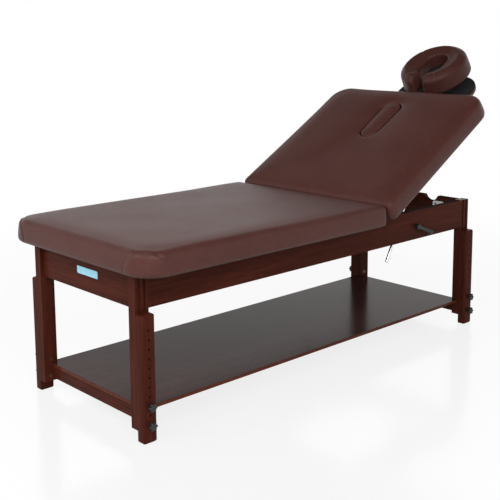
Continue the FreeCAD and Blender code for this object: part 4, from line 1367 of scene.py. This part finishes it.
def screwsOnStretchers():
    look = screwLook
    for end, way in (("foot", -1), ("head", 1)):
        low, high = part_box("shelf_stretcher_" + end)
        face = low.x if way < 0 else high.x
        place = (face, look["stretcherAcross"], low.z + look["stretcherUp"])
        makeScrews("stretcherScrew_" + end, [(place, random.random())], (way, 0, 0),
                   look["stretcherRadius"], "frame", blackSteel)


def screwsUnderBackrest():
    # four screws through each bracket's and each socket's plate
    for side in ("near", "far"):
        for node, fromEnd, fromSide, plate in (("prop_rod_bracket_", 0.008, 0.007, 0.003),
                                               ("cradle_socket_", 0.015, 0.0055, 0.004)):
            low, high = flatBox(node + side)
            places = []
            for x in (low.x + fromEnd, high.x - fromEnd):
                for y in (low.y + fromSide, high.y - fromSide):
                    places.append((tiltUp @ Vector((x, y, high.z - plate)), random.random()))
            makeScrews(node + side + "_screws", places, -upFromBack, screwLook["backRadius"],
                       "backrest")


screwsOnStretchers()
screwsUnderBackrest()

# blank plate on the foot rail, between two corners (y, z), with a raised rim
plateLook = {"low": (-0.072, 0.471), "high": (0.045, 0.496), "thick": 0.0011, "corner": 0.003,
             "sunk": -0.0002}
plateRows = ((0.0, 0.6), (0.0005, 1.0), (0.0025, 1.0), (0.003, 0.82))


def makeBlankPlate():
    look = plateLook
    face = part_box("foot_rail")[0].x
    low, high = Vector((*look["low"], 0)), Vector((*look["high"], 0))
    rows = [(0.0, look["sunk"])] + [(inset, part * look["thick"]) for inset, part in plateRows]
    rings = []
    for inset, out in rows:
        points = padOutline(low, high, inset, look["corner"], look["corner"], 6)
        rings.append([Vector((face - out, y, z)) for y, z in points])
    plate = newPiece("blankPlate", *loft(rings), [labelFinish], "frame", False)
    fixNormals(plate.data)


makeBlankPlate()
print("small pieces made")


# floor, light and camera
stageLook = {"floorSize": 30.0, "floorTone": (0.93, 0.93, 0.935, 1), "floorRough": 0.5,
             "plain": 0.42, "shadow": 0.11, "mirror": 0.07, "mirrorRough": 0.16,
             "nearWithin": 6.0, "ceiling": 0.06}


def seenRays(tree):
    # what the camera sees, also in a mirror and through glass
    rays = addNode(tree, "LightPath").outputs
    seen = math2(tree, "MAXIMUM", rays["Is Camera Ray"], rays["Is Glossy Ray"])
    return rays, math2(tree, "MAXIMUM", seen, rays["Is Transmission Ray"])


def mixShader(tree, factor, first, second):
    node = addNode(tree, "MixShader", {0: factor})
    tree.links.new(first.outputs[0], node.inputs[1])
    tree.links.new(second.outputs[0], node.inputs[2])
    return node


def makeFloor():
    look = stageLook
    size = look["floorSize"]
    corners = [(-size, -size, 0), (size, -size, 0), (size, size, 0), (-size, size, 0)]
    material, tree, shader = newMaterial("paleFloor")
    feed(tree, shader, Base_Color=look["floorTone"], Roughness=look["floorRough"])
    white = addNode(tree, "Emission", {"Color": grey(1), "Strength": 1.0})
    mirror = addNode(tree, "BsdfGlossy", {"Color": grey(1), "Roughness": look["mirrorRough"]})
    rays, seen = seenRays(tree)
    place = addNode(tree, "NewGeometry").outputs["Position"]
    away = addNode(tree, "VectorMath", {0: place}, operation="LENGTH").outputs["Value"]
    near = ramp(tree, math2(tree, "DIVIDE", away, look["nearWithin"]),
                [(0.24, grey(1)), (0.5, grey(0))])
    shadow = times(tree, near, look["shadow"])
    lit = mixShader(tree, times(tree, seen, math2(tree, "SUBTRACT", 1.0, shadow)), shader, white)
    reflected = times(tree, rays["Is Camera Ray"], times(tree, near, look["mirror"]))
    shown = mixShader(tree, reflected, lit, mirror)
    tree.links.new(shown.outputs[0], tree.nodes["Material Output"].inputs["Surface"])
    newObject("paleFloor", newMesh("paleFloor", corners, [(0, 1, 2, 3)], [material]))


def makeWorld():
    look = stageLook
    world = bpy.data.worlds.new("studio")
    scene.world = world
    world.use_nodes = True
    tree = world.node_tree
    light = tree.nodes["Background"]
    light.inputs["Color"].default_value = grey(1)
    rays, seen = seenRays(tree)
    level = plus(tree, times(tree, seen, 1.0 - look["plain"]), look["plain"])
    # the studio's ceiling is darker than its walls
    height = upPart(tree, addNode(tree, "TexCoord").outputs["Generated"])
    dim = ramp(tree, height, [(0.46, grey(1)), (0.64, grey(look["ceiling"]))])
    above = times(tree, rays["Is Glossy Ray"], math2(tree, "SUBTRACT", 1.0, dim))
    strength = times(tree, level, math2(tree, "SUBTRACT", 1.0, above))
    tree.links.new(strength, light.inputs["Strength"])


lampLooks = {
    "softKey": {"at": (-2.4, -3.0, 2.8), "target": (-0.3, 0, 0.5), "size": 2.4, "power": 108},
    "softFoot": {"at": (-3.4, 0.3, 2.6), "target": (-0.4, 0, 0.5), "size": 2.0, "power": 58},
}


def addLamp(name):
    look = lampLooks[name]
    data = bpy.data.lights.new(name, "AREA")
    data.energy = look["power"]
    data.size = look["size"]
    lamp = newObject(name, data)
    lamp.location = look["at"]
    lamp.rotation_mode = "QUATERNION"
    way = Vector(look["target"]) - Vector(look["at"])
    lamp.rotation_quaternion = way.to_track_quat("-Z", "Y")


cameraLook = {"at": (-2.4494, -2.4979, 1.2551), "yaw": 0.7493, "pitch": -0.1567,
              "roll": -0.00645, "lens": 66.933, "sensor": 36, "shiftY": -0.15}


def makeCamera():
    look = cameraLook
    data = bpy.data.cameras.new("photoCamera")
    data.lens = look["lens"]
    data.sensor_width = look["sensor"]
    data.shift_y = look["shiftY"]
    yaw, pitch, roll = look["yaw"], look["pitch"], look["roll"]
    forward = Vector((math.sin(yaw) * math.cos(pitch), math.cos(yaw) * math.cos(pitch),
                      math.sin(pitch)))
    right = Vector((math.cos(yaw), -math.sin(yaw), 0))
    above = right.cross(forward)
    rightRolled = right * math.cos(roll) + above * math.sin(roll)
    aboveRolled = above * math.cos(roll) - right * math.sin(roll)
    turn = Matrix((rightRolled, aboveRolled, -forward)).transposed()
    at = Vector(look["at"]) + Vector((tableMid, 0, 0))
    camera = newObject("photoCamera", data)
    camera.matrix_world = Matrix.Translation(at) @ turn.to_4x4()
    scene.camera = camera


makeFloor()
makeWorld()
for name in lampLooks:
    addLamp(name)
makeCamera()
print("stage set")
